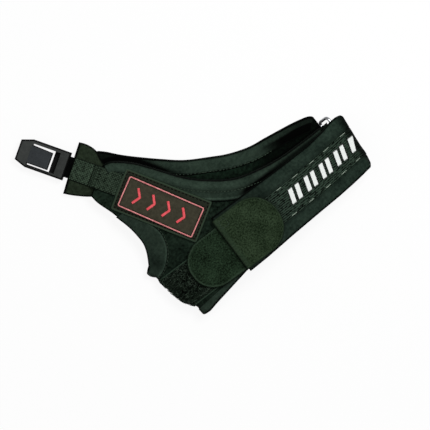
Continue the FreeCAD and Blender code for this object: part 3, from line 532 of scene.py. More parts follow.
thumb_edge = smooth([
    (-67.7, 24.6), (-66.8, 18.2), (-63.0, 7.1), (-59.6, -6.6), (-58.7, -14.4), (-58.7, -20.5),
    (-60.7, -26.7), (-64.2, -32.8), (-66.4, -35.7), (-68.5, -36.6), (-69.3, -38.5),
    (-70.4, -41.0), (-72.4, -46.0)])
hand_low_edge = np.vstack([
    thumb_edge, [(-72.2, -52.0), (-71.2, -70.0), (-70.0, -79.8), (-66.0, -80.5),
                 (-52.0, -80.7), (-15.7, -73.8), (62.3, -70.6), (74.8, -66.6), (82.2, -66.3)]])
steps = stations(length_of(hand_top_edge), 1.1)
upper = even(hand_top_edge, steps)
corner = length_of(hand_low_edge[:len(thumb_edge) + 4]) / length_of(hand_low_edge)
lower = even(hand_low_edge, np.interp(steps, [0, 0.47, 0.53, 1], [0, corner - 0.02, corner + 0.05, 1]))
hand_plan = between(upper, lower, 1.1)
hand_outline = even(grid_outline(hand_plan), np.linspace(0, 1, 300))
HAND_EDGE = 1.4                          # radius of the panel's rounded edge


def panel_top(x, y):
    """How far the panel's outer face is above its inner one: its middle's 1.5 mm, and as much
    again times the rounding of the edge."""
    edge = rounding(distance_to(np.stack([x, y], axis=-1), hand_outline), HAND_EDGE)
    return MIDDLE_UP + MIDDLE_UP * edge


hand_cloth = material(
    "back jersey", jersey,
    {"Shade": paint(2, 6, 3), "Light": paint(32, 46, 36), "Loops": 1.7, "Mottle": 2.0},
    bump=0.35, depth=0.25, sheen=0.02)
hand_middle = on_hand(hand_plan[..., 0], hand_plan[..., 1], MIDDLE_UP)
hand_half = MIDDLE_UP * plan_rounding(hand_plan, HAND_EDGE)
hand_x, hand_y = hand_plan[..., 0], hand_plan[..., 1]
# painted shadow under the strap's upper edge
strap_edge_shadow = np.exp(-((hand_y + 32.4) / 1.6) ** 2) * eased(hand_x, 2, 12)
hand = closed_sheet("back_neoprene", hand_middle, hand_half, hand_plan, tone=-0.75 * strap_edge_shadow)
fit(hand, "guard", "neoprene", hand_cloth, "back_panel", "wrist_gusset")

# ==== Edge bindings ==========================================================================
# Strips of the thin jersey folded over the cut edges of both panels and sewn down along one
# row of stitches, so each edge is a soft roll with a line of thread inside it.
BINDING = 0.8


def beside(line, width):
    """A plan line moved to its right: P + w (dy, -dx) / |(dx, dy)|."""
    step = np.gradient(line, axis=0)
    step /= np.linalg.norm(step, axis=1, keepdims=True)
    return line + width * np.stack([step[:, 1], -step[:, 0]], axis=1)


def binding(name, edge, inward, roll, top, wrap, plan_to_space, puff, tone):
    """A strip from a row of stitches out to an edge and round it: at a distance d in from the
    edge it lies at height top + puff sin(pi d / roll) out to the roll's seam, which is a dip
    0.4 exp(-((d - roll) / 0.6)^2). It drops as a quarter circle of radius wrap over the last
    few millimetres, to end under the edge."""
    count = max(60, int(length_of(edge) / 1.2))
    line = even(edge, np.linspace(0, 1, count))
    inner = beside(line, inward)
    d = np.concatenate([np.linspace(inward, wrap, max(6, int(inward / 0.7))),
                        wrap * (1 - np.sin(np.linspace(0, math.pi / 2, 7)[1:])), [-0.25, -0.3, 0.1, 0.8]])
    drop = np.concatenate([np.zeros(len(d) - 11), wrap * (1 - np.cos(np.linspace(0, math.pi / 2, 7))),
                           [wrap + 0.5, wrap + 1.2, wrap + 1.7, wrap + 1.9]])
    share = (d / inward)[None, :, None]
    plan = line[:, None] + share * (inner - line)[:, None]
    rise = puff * np.sin(math.pi * np.clip(d / roll, 0, 1)) - drop - 0.4 * np.exp(-((d - roll) / 0.6) ** 2)
    middle = plan_to_space(plan, top + rise[None, :])
    rows, columns = plan.shape[:2]
    half = np.full((rows, columns), BINDING / 2)
    half[[0, -1]] = 0
    half[:, [0, -1]] = 0
    half[:, [1, -2]] *= 0.8
    cloth = np.stack(np.meshgrid(np.linspace(0, length_of(edge), rows), inward - d, indexing="ij"), axis=-1)
    # painted shade: black over the outer millimetre, where the strip turns under the edge
    shade = tone(plan, np.broadcast_to(d, plan.shape[:2])) - 0.98 * (1 - eased(d, 0.8, 1.25))
    return closed_sheet(name, middle, half, cloth, tone=shade)


def seam_tone(d, at, dark=0.7, light=0.35):
    """A sewn line on dark cloth: painted shade -dark exp(-((d - at) / 0.45)^2) in its groove, with a paler
    lip beside it.
    """
    return light * np.exp(-((d - at + 1.1) / 0.5) ** 2) - dark * np.exp(-((d - at) / 0.45) ** 2)


def palm_binding_tone(plan, d):
    """Painted shade near the clip, beside the back of the hand and from 4 mm in at the ring's end,
    with its seam 8.8 mm in."""
    x = plan[..., 0]
    far = eased(x, 26, 52)
    near = 1 - eased(distance_to(plan, even(hand_top_edge, np.linspace(0, 1, 120))), 1.6, 4.2)
    return (-0.85 * (1 - eased(x, -32, -15)) - 0.85 * near * (1 - eased(x, -16, 0))
            + 0.12 * eased(x, -16, -4) - 0.75 * eased(d, 3.2, 4.8) * far - 0.35 * far - 0.5 * eased(x, 50, 68)
            + (1 - far) * seam_tone(d, 8.8, 0.5, 0.2))


def hand_binding_tone(plan, d):
    """A painted highlight on the roll, painted shade in the seam at 7 mm and under the strap's
    edge, with a second seam where it ends."""
    right = eased(plan[..., 0], 2, 18)
    return (0.22 * np.exp(-((d - 3.4) / 1.7) ** 2) - 0.45 * np.exp(-((d - 7.3) / 1.0) ** 2)
            + seam_tone(d, 12.9, 0.85, 1.0) * (1 - right) - 0.12 * eased(d, 8.2, 9.0) - 0.2 * right
            - 0.9 * right * (1 - eased(plan[..., 1], -32.4, -30.2)))


def above_palm(plan, height):
    """Points over the plan at a height, never under 0.5."""
    height = np.broadcast_to(height, plan.shape[:2])
    return np.dstack([plan, np.maximum(height, 0.5)])


def above_hand(plan, offset):
    """Points over the plan at an offset from the shell's inside."""
    return on_hand(plan[..., 0], plan[..., 1], np.broadcast_to(offset, plan.shape[:2]))


binding_cloth = material(
    "binding jersey", jersey,
    {"Shade": paint(21, 31, 25), "Light": paint(49, 63, 53), "Loops": 2.2, "Mottle": 1.3, "Lint": 0.1},
    bump=0.3, depth=0.2, sheen=0.02)
palm_binding = binding("palm_edge_binding", palm_top_edge[:-1], 9.6, 8.8, 3.3, 1.3, above_palm, 0.4,
                       palm_binding_tone)
fit(palm_binding, "guard", "binding", binding_cloth, "palm_top_binding")
hand_binding = binding("back_edge_binding", hand_top_edge[4:-14], 13.6, 7.0, 3.4, 1.5, above_hand, 0.8,
                       hand_binding_tone)
fit(hand_binding, "guard", "binding", binding_cloth, "back_top_binding")

# ==== Thumb facing and wrist edge ============================================================
# A broad facing of thin jersey sewn round the thumb opening, its inner edge a curved row of
# stitches, and a narrow band that closes the panel's edge at the wrist.
def facing_plan(edge, seam, step):
    """Plan grid from the facing's outer edge in to its seam."""
    shares = stations(length_of(edge), step)
    return between(even(edge, shares), even(seam, shares), step)


def laid_on_hand(name, plan, low, thick, radius, uv=None, relief=None, marks=None, puff=0.0, tone=None):
    """A layer sewn on the hand panel: its middle is the panel's outer face + low + thick / 2,
    and it swells by puff away from its own edges."""
    full = plan_rounding(plan, radius)
    swell = puff * np.clip(distance_to(plan, even(grid_outline(plan), np.linspace(0, 1, 200))) / 4, 0, 1)
    offset = panel_top(plan[..., 0], plan[..., 1]) + low + thick / 2 + swell
    middle = on_hand(plan[..., 0], plan[..., 1], offset)
    return closed_sheet(name, middle, full * thick / 2, plan if uv is None else uv, relief, marks, tone)


thumb_seam = smooth([
    (-52.0, 4.0), (-48.6, -8.5), (-45.9, -17.0), (-45.3, -22.5), (-46.4, -28.2), (-48.9, -33.4),
    (-52.8, -38.0), (-57.7, -41.9), (-62.0, -43.9), (-68.0, -46.5)])
facing_edge = smooth([
    (-62.9, 4.0), (-60.1, -6.6), (-59.2, -14.4), (-59.2, -20.5), (-61.1, -26.4), (-64.4, -32.5),
    (-66.5, -35.4), (-68.7, -36.4), (-69.4, -38.5), (-69.7, -41.0), (-69.8, -45.0)])
plan = facing_plan(facing_edge, thumb_seam, 0.9)
seam_gap = distance_to(plan, thumb_seam[::4])
dent = np.exp(-((plan[..., 0] + 60) / 5) ** 2 - ((plan[..., 1] + 36) / 4) ** 2)
# painted shade in the dent by the thumb's corner and along the outer edge, and a paler line beside the seam
facing = laid_on_hand("thumb_edge_facing", plan, -0.15, 0.8, 0.8, puff=0.25, relief=-0.3 * dent,
                      tone=0.55 * np.exp(-((seam_gap - 1.2) / 0.5) ** 2) - 0.35 * dent - 0.1
                      - 0.95 * (1 - eased(distance_to(plan, facing_edge[::3]), 0.7, 1.2)))
fit(facing, "guard", "binding", binding_cloth, "thumb_facing")

wrist_upper = np.array([(-63.0, -75.6), (-52.0, -74.4), (-15.7, -71.2), (39.0, -70.2)])
wrist_lower = np.array([(-64.6, -80.2), (-52.0, -80.4), (-15.7, -73.7), (39.0, -72.0)])
shares = stations(105.0, 1.4)
plan = between(even(wrist_upper, shares), even(wrist_lower, shares), 0.8)
# painted shade along the lower edge
wrist_band = laid_on_hand("wrist_edge_band", plan, -0.2, 0.7, 0.7, puff=0.15,
                          tone=-0.95 * (1 - eased(distance_to(plan, wrist_lower), 0.8, 1.3)))
fit(wrist_band, "guard", "binding", binding_cloth, "wrist_binding")

# ==== Loop strip =============================================================================
# The soft half of the closure: a brushed pile of tiny loops on a woven ground, with smooth
# selvedges along both sides, sewn across the back of the wrist and round the gusset.
def pile_group():
    """Brushed pile: clumps of loops from two sizes of cell noise over fine fibres. A mask turns
    it to flat, lighter selvedge."""
    tree, given, result = new_group(
        "brushed pile",
        [("Vector", "Vector", None), ("Shade", "Color", None), ("Light", "Color", None),
         ("Flat", "Color", None), ("Selvedge", "Float", 0.0), ("Clump", "Float", 1.1),
         ("Speck", "Float", 0.3), ("Contrast", "Float", 2.0)],
        [("Color", "Color"), ("Roughness", "Float"), ("Height", "Float")])
    vector = given.outputs["Vector"]
    fibre = noise(tree, vector, 4.2, 3.0, 0.7)
    clump = noise(tree, vector, given.outputs["Clump"], 2.0, 0.55)
    cells = tree.nodes.new("ShaderNodeTexVoronoi")
    tree.links.new(vector, cells.inputs["Vector"])
    cells.inputs["Scale"].default_value = 1.9
    speck = ramp(tree, noise(tree, vector, 2.3, 1.0, 0.5), 0.62, 0.74)
    cloud = noise(tree, vector, 0.09, 2.0, 0.5)
    tone = tally(tree, 0.42, (fibre, 0.9), (clump, given.outputs["Contrast"]),
                 (cells.outputs["Distance"], -0.4), (cloud, 1.2))
    tone = maths(tree, "ADD", tone, maths(tree, "MULTIPLY", speck, given.outputs["Speck"]))
    colour = mix_colour(tree, tone, given.outputs["Shade"], given.outputs["Light"])
    colour = mix_colour(tree, given.outputs["Selvedge"], colour, given.outputs["Flat"])
    tree.links.new(colour, result.inputs["Color"])
    tree.links.new(ramp(tree, fibre, 0.3, 0.7, 0.85, 1.0), result.inputs["Roughness"])
    height = maths(tree, "ADD", maths(tree, "MULTIPLY", clump, 0.7), maths(tree, "MULTIPLY", fibre, 0.6))
    height = maths(tree, "SUBTRACT", height, maths(tree, "MULTIPLY", cells.outputs["Distance"], 0.4))
    tree.links.new(height, result.inputs["Height"])
    return tree


def waves(x, y, seed, sizes=(1.0, 0.55, 0.3)):
    """A rough surface from a fixed set of waves: the sum over sizes of sin(k.p + phase), with
    seeded directions and phases, scaled to about -1..1."""
    random = np.random.default_rng(seed)
    total = np.zeros(np.broadcast(x, y).shape)
    for size in sizes:
        for turn, phase in zip(random.uniform(0, math.pi, 5), random.uniform(0, 2 * math.pi, 5)):
            k = 2 * math.pi / size
            total += np.sin(k * (x * math.cos(turn) + y * math.sin(turn)) + phase)
    return total / (2.2 * len(sizes))


pile = pile_group()


def pile_material(name, shade, light, flat, clump, contrast, speck, bump):
    """Brushed cloth from the pile effect: hook cloth and loop cloth differ in clump and speck."""
    return material(name, pile, {"Shade": shade, "Light": light, "Flat": flat, "Clump": clump,
                                 "Contrast": contrast, "Speck": speck},
                    bump=bump, depth=0.5, sheen=0.03, mask="Selvedge")


loop_cloth = pile_material("loop pile", paint(1, 2, 1), paint(24, 34, 26), paint(42, 59, 47),
                           0.8, 2.8, 0.25, 0.9)
loop_upper = np.array([(-68.6, -44.6), (-58.6, -44.6), (39.0, -44.6)])
loop_lower = np.array([(-64.6, -72.6), (-51.5, -72.2), (39.0, -71.2)])
shares = stations(110.0, 1.1)
plan = between(even(loop_upper, shares), even(loop_lower, shares), 0.9)
edge_gap = distance_to(plan, np.vstack([loop_upper, loop_lower[::-1], loop_upper[:1]]))
border = 1 - eased(edge_gap, 0.9, 1.5)
relief = (0.28 * waves(plan[..., 0], plan[..., 1], 4, (5.0, 2.6)) + 0.15) * (1 - border)
loop_field = laid_on_hand("soft_loop_strip", plan, 0.0, 1.0, 0.5, relief=relief,
                          marks={"selvedge": border})
fit(loop_field, "guard", "loop_pile", loop_cloth, "loop_strip")


def curls(name, count, x_span, y_span, seed):
    """Loose loops of the pile: arcs of 5 points about seeded centres, P(a) = c + r (cos a, sin a)
    in plan with the ends sunk into the ground, each a three-sided tube."""
    random = np.random.default_rng(seed)
    centre = np.stack([random.uniform(*x_span, count), random.uniform(*y_span, count)], axis=-1)
    start = random.uniform(0, 2 * math.pi, (count, 1))
    turn = start + random.uniform(1.2, 3.6, (count, 1)) * np.linspace(0, 1, 5)
    radius = random.uniform(0.5, 1.5, (count, 1))
    x = centre[:, :1] + radius * np.cos(turn)
    y = centre[:, 1:] + radius * np.sin(turn)
    rise = 4.25 + 0.35 * np.sin(math.pi * np.linspace(0, 1, 5)) * random.uniform(0.5, 1.3, (count, 1))
    line = on_hand(x, y, rise)
    up = on_hand(x, y, rise + 1.0) - line
    side = np.cross(np.gradient(line, axis=1), up)
    side /= np.linalg.norm(side, axis=-1, keepdims=True) + 1e-9
    around = np.arange(3) * 2 * math.pi / 3
    tube = (line[:, :, None] + 0.11 * (np.cos(around)[:, None] * side[:, :, None]
                                       + np.sin(around)[:, None] * up[:, :, None]))
    n = np.arange(count * 15).reshape(count, 5, 3)
    after = np.roll(n, -1, axis=2)
    quads = np.stack([n[:, :-1], after[:, :-1], after[:, 1:], n[:, 1:]], axis=-1).reshape(-1, 4).tolist()
    caps = n[:, 0, ::-1].tolist() + n[:, -1].tolist()
    flat = np.stack([x, y], -1).repeat(3, axis=1).reshape(-1, 2)
    return make_object(name, tube.reshape(-1, 3), quads + caps, flat)


pile_loops = curls("pile_loops", 1000, (-64.5, -14.0), (-70.4, -46.4), 3)
curl_yarn = material("loose loops", jersey,
                     {"Shade": paint(20, 28, 21), "Light": paint(76, 92, 78), "Mottle": 3.0},
                     bump=0.1, depth=0.1)
fit(pile_loops, "guard", "loop_pile", curl_yarn)

# ==== Webbing and the flared end =============================================================
# Three layers meet at the clip: black webbing doubled round the hinge pin, a bow-tie of thick
# cloth sewn over the end of the palm panel, and the lead's woven webbing on top of both.
def weave_group():
    """Plain weave, with u and v in threads along and across: h = 0.35 sin(pi u) sin(pi v)
    + rib |sin(pi v)| + 0.25 |sin(pi u)| + 0.3 fibre, and streaks drawn out along the cloth."""
    tree, given, result = new_group(
        "plain weave",
        [("Vector", "Vector", None), ("Shade", "Color", None), ("Light", "Color", None),
         ("Along", "Float", 0.9), ("Across", "Float", 0.9), ("Rib", "Float", 0.5), ("Weave", "Float", 0.6),
         ("Mottle", "Float", 1.0), ("Streak", "Float", 0.0)],
        [("Color", "Color"), ("Roughness", "Float"), ("Height", "Float")])
    x, y, z = split(tree, given.outputs["Vector"])
    u = maths(tree, "MULTIPLY", maths(tree, "MULTIPLY", x, given.outputs["Along"]), math.pi)
    v = maths(tree, "MULTIPLY", maths(tree, "MULTIPLY", y, given.outputs["Across"]), math.pi)
    over = maths(tree, "MULTIPLY", maths(tree, "SINE", u), maths(tree, "SINE", v))
    rib = maths(tree, "ABSOLUTE", maths(tree, "SINE", v))
    weft = maths(tree, "ABSOLUTE", maths(tree, "SINE", u))
    fibre = noise(tree, given.outputs["Vector"], 3.5, 3.0, 0.65)
    mottle = noise(tree, given.outputs["Vector"], 0.5, 3.0, 0.6)
    stretch = tree.nodes.new("ShaderNodeMapping")
    stretch.inputs["Scale"].default_value = (0.36, 1.0, 1.0)
    tree.links.new(given.outputs["Vector"], stretch.inputs["Vector"])
    streak = noise(tree, stretch.outputs[0], 1.0, 3.0, 0.6)
    height = maths(tree, "ADD", maths(tree, "MULTIPLY", over, 0.35),
                   maths(tree, "MULTIPLY", rib, given.outputs["Rib"]))
    height = maths(tree, "ADD", height, maths(tree, "MULTIPLY", weft, 0.25))
    knot = maths(tree, "ADD", maths(tree, "MULTIPLY", over, 0.5), 0.5)
    tone = tally(tree, 0.42, (knot, given.outputs["Weave"]), (rib, given.outputs["Rib"]), (weft, 0.2),
                 (fibre, 0.7), (mottle, given.outputs["Mottle"]), (streak, given.outputs["Streak"]))
    colour = mix_colour(tree, tone, given.outputs["Shade"], given.outputs["Light"])
    tree.links.new(colour, result.inputs["Color"])
    tree.links.new(ramp(tree, fibre, 0.3, 0.7, 0.75, 0.9), result.inputs["Roughness"])
    tree.links.new(maths(tree, "ADD", height, maths(tree, "MULTIPLY", fibre, 0.3)), result.inputs["Height"])
    return tree


weave = weave_group()
flare_cloth = material(
    "flared end cloth", weave,
    {"Shade": paint(16, 22, 14), "Light": paint(44, 55, 41), "Along": 2.2, "Across": 2.2, "Rib": 0.2,
     "Weave": 0.3, "Mottle": 1.4},
    bump=0.3, depth=0.2, sheen=0.02)
flare_left = smooth([(34.45, 17.6), (38.5, 17.9), (42.4, 17.5), (46.3, 16.3), (49.4, 14.0), (52.0, 11.4),
                     (56.2, 8.8)])
flare_right = smooth([(35.85, -17.3), (40.8, -16.6), (44.6, -15.8), (50.0, -14.4), (54.4, -12.9),
                      (56.2, -12.2)])
shares = stations(24.0, 0.8)
lead_plan = between(even(flare_left, shares), even(flare_right, shares), 0.8)
plan = on_lead(lead_plan[..., 0], lead_plan[..., 1])
droop = 1.9 * eased(np.abs(lead_plan[..., 1]), 7.0, 17.0) * (1 - 0.3 * eased(lead_plan[..., 0], 44, 54))
middle = np.dstack([plan, 5.6 - droop + 0.18 * waves(plan[..., 0], plan[..., 1], 8, (17.0, 11.0))])
start_gap = distance_to(lead_plan, np.array([flare_left[0], flare_right[0]]))
side_gap = distance_to(lead_plan, np.vstack([flare_left, flare_right[::-1]]))
# painted shade: black along the start and both sides, and darker on the lower wing where the back panel's
# edge lies over it
flare = closed_sheet("bow_tie_end", middle, 0.8 * plan_rounding(plan, 0.8), lead_plan,
                     tone=-0.97 * (1 - eased(start_gap, 1.4, 1.9)) - 0.97 * (1 - eased(side_gap, 0.8, 1.25))
                     - 0.35 * (1 - eased(lead_plan[..., 1], -13.0, -9.0))
                     * eased(lead_plan[..., 0], 46, 52))
fit(flare, "guard", "binding", flare_cloth, "flared_end")

PIN_S, PIN_Z = 30.0, 3.9
NECK_HALF = 7.0
turn = np.linspace(math.pi / 2 + 0.5, 3 * math.pi / 2 - 0.5, 15)
eye = np.stack([PIN_S + 1.93 * np.cos(turn), PIN_Z + 1.93 * np.sin(turn)], axis=1)
neck_profile = np.vstack([[(60.0, 4.75), (48.0, 4.78), (34.5, 4.78), (32.4, 4.95)], eye,
                          [(32.4, 2.85), (34.5, 3.03), (48.0, 3.03), (60.0, 3.05)]])
neck_path = np.linspace(-NECK_HALF, NECK_HALF, 9)
ring_grid = np.empty((len(neck_path), len(neck_profile), 3))
ring_grid[..., :2] = on_lead(np.broadcast_to(neck_profile[:, 0], ring_grid.shape[:2]),
                             np.broadcast_to(neck_path[:, None], ring_grid.shape[:2]))
ring_grid[..., 2] = neck_profile[:, 1]
edge_pull = np.array([0.25, 0.06, 0, 0, 0, 0, 0, 0.06, 0.25])[:, None]
ring_grid[..., 2] += (PIN_Z - ring_grid[..., 2]) * edge_pull
# near black: the webbing's own black deepened as painted shade where it runs under the flared end and in the
# ring's holder
shaded_black_webbing = material(
    "black webbing", weave,
    {"Shade": paint(0, 1, 1), "Light": paint(4, 5, 5), "Along": 1.1, "Across": 1.0, "Rib": 0.5},
    bump=0.6, depth=0.3)


def extruded(name, ring):
    """A closed solid from a grid P(i, j) whose second direction runs round a closed profile:
    four-sided faces from each profile to the next, and a flat cap on each end one."""
    rows, columns = ring.shape[:2]
    n = np.arange(rows * columns).reshape(rows, columns)
    after = np.roll(n, -1, axis=1)
    quads = np.stack([n[:-1], after[:-1], after[1:], n[1:]], axis=-1).reshape(-1, 4)
    caps = [n[0, ::-1].tolist(), n[-1].tolist()]
    run = np.concatenate([[0], np.cumsum(np.linalg.norm(np.diff(ring[:, 0], axis=0), axis=1))])
    around = np.concatenate([[0], np.cumsum(np.linalg.norm(np.diff(ring[0], axis=0), axis=1))])
    flat = np.stack(np.meshgrid(around, run, indexing="xy"), axis=-1).reshape(-1, 2)
    made = make_object(name, ring.reshape(-1, 3), quads.tolist() + caps, flat)
    face_outwards(made)
    return made


def face_outwards(piece):
    """Turns every face of a closed mesh outwards."""
    work = bmesh.new()
    work.from_mesh(piece.data)
    bmesh.ops.recalc_face_normals(work, faces=work.faces)
    work.to_mesh(piece.data)
    work.free()


neck = extruded("hinge_webbing", ring_grid)
fit(neck, "guard", "black_webbing", shaded_black_webbing, "clip_loop")

WEB_THICK = 1.1
along = np.concatenate([[35.9, 36.05, 36.3], np.arange(36.6, 78.0, 0.3)])
side = np.concatenate([[-7.5, -7.42, -7.2], np.arange(-6.9, 6.95, 0.3), [7.2, 7.42, 7.5]])
lead_s, lead_t = np.meshgrid(along, side, indexing="ij")
plan = on_lead(lead_s, lead_t)
on_flare = HAND_LOW + 0.05
on_panel = on_hand(plan[..., 0], plan[..., 1], panel_top(plan[..., 0], plan[..., 1]))[..., 2]
climb = eased(lead_s, HAND_END - 3.4, HAND_END + 0.6)
lift = on_flare + (np.maximum(on_panel, on_flare + 2.2) - on_flare) * climb
middle = np.dstack([plan, lift + WEB_THICK / 2])
full = plan_rounding(lead_s[..., None] * [1, 0] + lead_t[..., None] * [0, 1], 0.55)
threads = (np.sin(math.pi * lead_s / 0.95) * np.sin(math.pi * lead_t / 0.9)
           + 0.5 * np.abs(np.sin(math.pi * lead_t / 0.9)) + 0.4 * np.abs(np.sin(math.pi * lead_s / 0.95)))
lead_cloth = material(
    "lead webbing", weave,
    {"Shade": paint(4, 8, 4), "Light": paint(62, 78, 63), "Along": 1 / 0.95, "Across": 1 / 0.9, "Rib": 0.35,
     "Weave": 0.75, "Mottle": 2.0},
    bump=0.5, depth=0.3, sheen=0.02)
# a painted highlight and painted shade where the webbing climbs onto the back panel, a little darker beyond
# it, and painted shade along both edges
step_highlight_and_shade = (0.6 * np.exp(-((lead_s - 48.4) / 0.5) ** 2) - 0.8 * np.exp(-((lead_s - 49.4) / 0.5) ** 2)
             - 0.15 * eased(lead_s, 49.0, 50.0) - 0.85 * np.exp(-((7.6 - np.abs(lead_t)) / 0.6) ** 2))
bulges = 0.13 * threads * eased(lead_s, 37.0, 38.0) + 0.25 * np.exp(-((lead_s - 48.2) / 0.7) ** 2)
lead = closed_sheet("lead_webbing", middle, full * WEB_THICK / 2, np.dstack([lead_s, lead_t]),
                    relief=bulges, tone=step_highlight_and_shade)
fit(lead, "guard", "webbing", lead_cloth, "clip_webbing")

# ==== Rubber patch ===========================================================================
# A moulded rubber patch that covers the end of the webbing: a raised red border line and red
# chevrons stand on its face, and it is sewn down through a shallow groove round its rim.
def rubber_group():
    """Moulded rubber: faint orange-peel, dust, and a mask that turns it to the rim's flat tone."""
    tree, given, result = new_group(
        "moulded rubber",
        [("Vector", "Vector", None), ("Shade", "Color", None), ("Light", "Color", None),
         ("Flat", "Color", (0.02, 0.02, 0.02, 1)), ("Selvedge", "Float", 0.0), ("Grain", "Float", 2.2),
         ("Gloss", "Float", 0.55)],
        [("Color", "Color"), ("Roughness", "Float"), ("Height", "Float")])
    vector = given.outputs["Vector"]
    peel = noise(tree, vector, given.outputs["Grain"], 2.0, 0.5)
    dust = noise(tree, vector, 0.35, 4.0, 0.7)
    tone = tally(tree, 0.5, (peel, 0.5), (dust, 1.6))
    colour = mix_colour(tree, tone, given.outputs["Shade"], given.outputs["Light"])
    colour = mix_colour(tree, given.outputs["Selvedge"], colour, given.outputs["Flat"])
    tree.links.new(colour, result.inputs["Color"])
    rough = maths(tree, "ADD", given.outputs["Gloss"], maths(tree, "MULTIPLY", dust, 0.22))
    tree.links.new(rough, result.inputs["Roughness"])
    tree.links.new(peel, result.inputs["Height"])
    return tree


rubber = rubber_group()
patch_rubber = material("patch rubber", rubber,
                        {"Shade": paint(40, 39, 30), "Light": paint(70, 67, 54), "Flat": paint(44, 60, 46),
                         "Gloss": 0.65}, bump=0.25, depth=0.12, specular=0.06, mask="Selvedge")
red_rubber = material("red rubber", rubber,
                      {"Shade": paint(196, 52, 60), "Light": paint(244, 110, 116), "Gloss": 0.6},
                      bump=0.2, depth=0.1, specular=0.06)
# paler than the chevrons' red, partly a painted highlight along the thin ridge
pale_red = material("pale red rubber", rubber,
                     {"Shade": paint(178, 92, 94), "Light": paint(232, 158, 156), "Gloss": 0.65},
                     bump=0.2, depth=0.1, specular=0.06)
PATCH_AT, PATCH_TURN = np.array([-50.45, 17.84]), math.radians(-58.5)
PATCH_LONG, PATCH_WIDE, PATCH_THICK = 59.7, 28.3, 1.6
PATCH_MIDDLE, PATCH_CORNER = PATCH_LONG / 2, 1.5
BORDER_TURN = math.radians(-1.9)


def patch_height(s, t):
    """Offset of the patch's outer face from the hand panel's: 1.6, a little more over the
    webbing's end."""
    over_web = (1 - eased(np.abs(t - 2.2), 6.6, 9.0)) * (1 - eased(s, 5.2, 11.2))
    return PATCH_THICK + 0.45 * over_web


def on_patch(s, t, offset):
    """Points at an offset above the patch's underside, at s along the patch and t across it."""
    plan = on_line(PATCH_AT, PATCH_TURN, s, t)
    return on_hand(plan[..., 0], plan[..., 1], panel_top(plan[..., 0], plan[..., 1]) + offset)


def turned(s, t, turn):
    """Places on the patch turned about its end: (s cos a - t sin a, s sin a + t cos a)."""
    return s * math.cos(turn) - t * math.sin(turn), s * math.sin(turn) + t * math.cos(turn)


def box_gap(s, t, long, wide, corner):
    """Distance inside a round-cornered box of that length and width, negative outside:
    r - |max(|p| - size / 2 + r, 0)| - and the nearer side where that is inside."""
    a = np.abs(s - PATCH_MIDDLE) - long / 2 + corner
    b = np.abs(t) - wide / 2 + corner
    outside = np.hypot(np.maximum(a, 0), np.maximum(b, 0))
    return corner - outside - np.minimum(np.maximum(a, b), 0)


def round_box(long, wide, corner, count):
    """The outline of a round-cornered box, evenly spaced, as (s, t)."""
    quarter = np.linspace(0, math.pi / 2, 9)
    sides = []
    for number, (x, y) in enumerate([(1, 1), (-1, 1), (-1, -1), (1, -1)]):
        turn = quarter + number * math.pi / 2
        sides.append(np.stack([x * (long / 2 - corner) + corner * np.cos(turn),
                               y * (wide / 2 - corner) + corner * np.sin(turn)], axis=1))
    line = np.vstack(sides + [sides[0][:1]])
    return even(line, np.linspace(0, 1, count)) + [PATCH_MIDDLE, 0]


rim = np.array([0, 0.06, 0.2, 0.45, 0.8, 1.1, 1.4, 1.7, 2.0, 2.3, 2.6, 3.0])
s_line = np.concatenate([rim, np.linspace(3.5, PATCH_LONG - 3.5, 90), PATCH_LONG - rim[::-1]])
t_line = -PATCH_WIDE / 2 + np.concatenate([
    rim, np.linspace(3.5, PATCH_WIDE - 3.5, 40), PATCH_WIDE - rim[::-1]])
patch_s, patch_t = np.meshgrid(s_line, t_line, indexing="ij")
pull_s, pull_t = patch_s - PATCH_MIDDLE, patch_t
outside = np.maximum(-box_gap(patch_s, patch_t, PATCH_LONG, PATCH_WIDE, PATCH_CORNER), 0)
toward = np.stack([np.sign(pull_s), np.sign(pull_t)], axis=-1) * outside[..., None] * 0.72
patch_s, patch_t = patch_s - toward[..., 0], patch_t - toward[..., 1]
gap = np.maximum(box_gap(patch_s, patch_t, PATCH_LONG, PATCH_WIDE, PATCH_CORNER), 0)
half = rounding(gap, 0.45) * PATCH_THICK / 2
half[[0, -1]] = 0
half[:, [0, -1]] = 0
ridge_gap = box_gap(*turned(patch_s, patch_t, -BORDER_TURN), PATCH_LONG, PATCH_WIDE, PATCH_CORNER)
groove = -0.35 * np.exp(-((gap - 1.9) / 0.45) ** 2) - 0.22 * (ridge_gap > 3.3) * eased(ridge_gap, 3.3, 3.6)
lift = (patch_height(patch_s, patch_t) - PATCH_THICK) / 2
middle = on_patch(patch_s, patch_t, PATCH_THICK / 2 + lift)
rim_mark = np.clip(0.95 - 0.45 * eased(gap, 0.9, 1.3) - 0.5 * eased(ridge_gap, 3.3, 3.8), 0, 1)
# painted shade along both sides of the raised border, over a darker band from the groove to the border
rubber_patch = closed_sheet(
    "rubber_badge", middle, half + lift * (half > 0), np.dstack([patch_s, patch_t]), relief=groove,
    marks={"selvedge": rim_mark},
    edge=-0.6,
    tone=(-0.56 * (1 - eased(ridge_gap, 3.4, 4.2)) * eased(gap, 1.1, 1.5)
          - 0.4 * np.exp(-((ridge_gap - 3.35) / 0.3) ** 2)
          - 0.7 * np.exp(-((ridge_gap - 4.8) / 0.35) ** 2)))
fit(rubber_patch, "guard", "patch_rubber", patch_rubber, "rubber_patch")


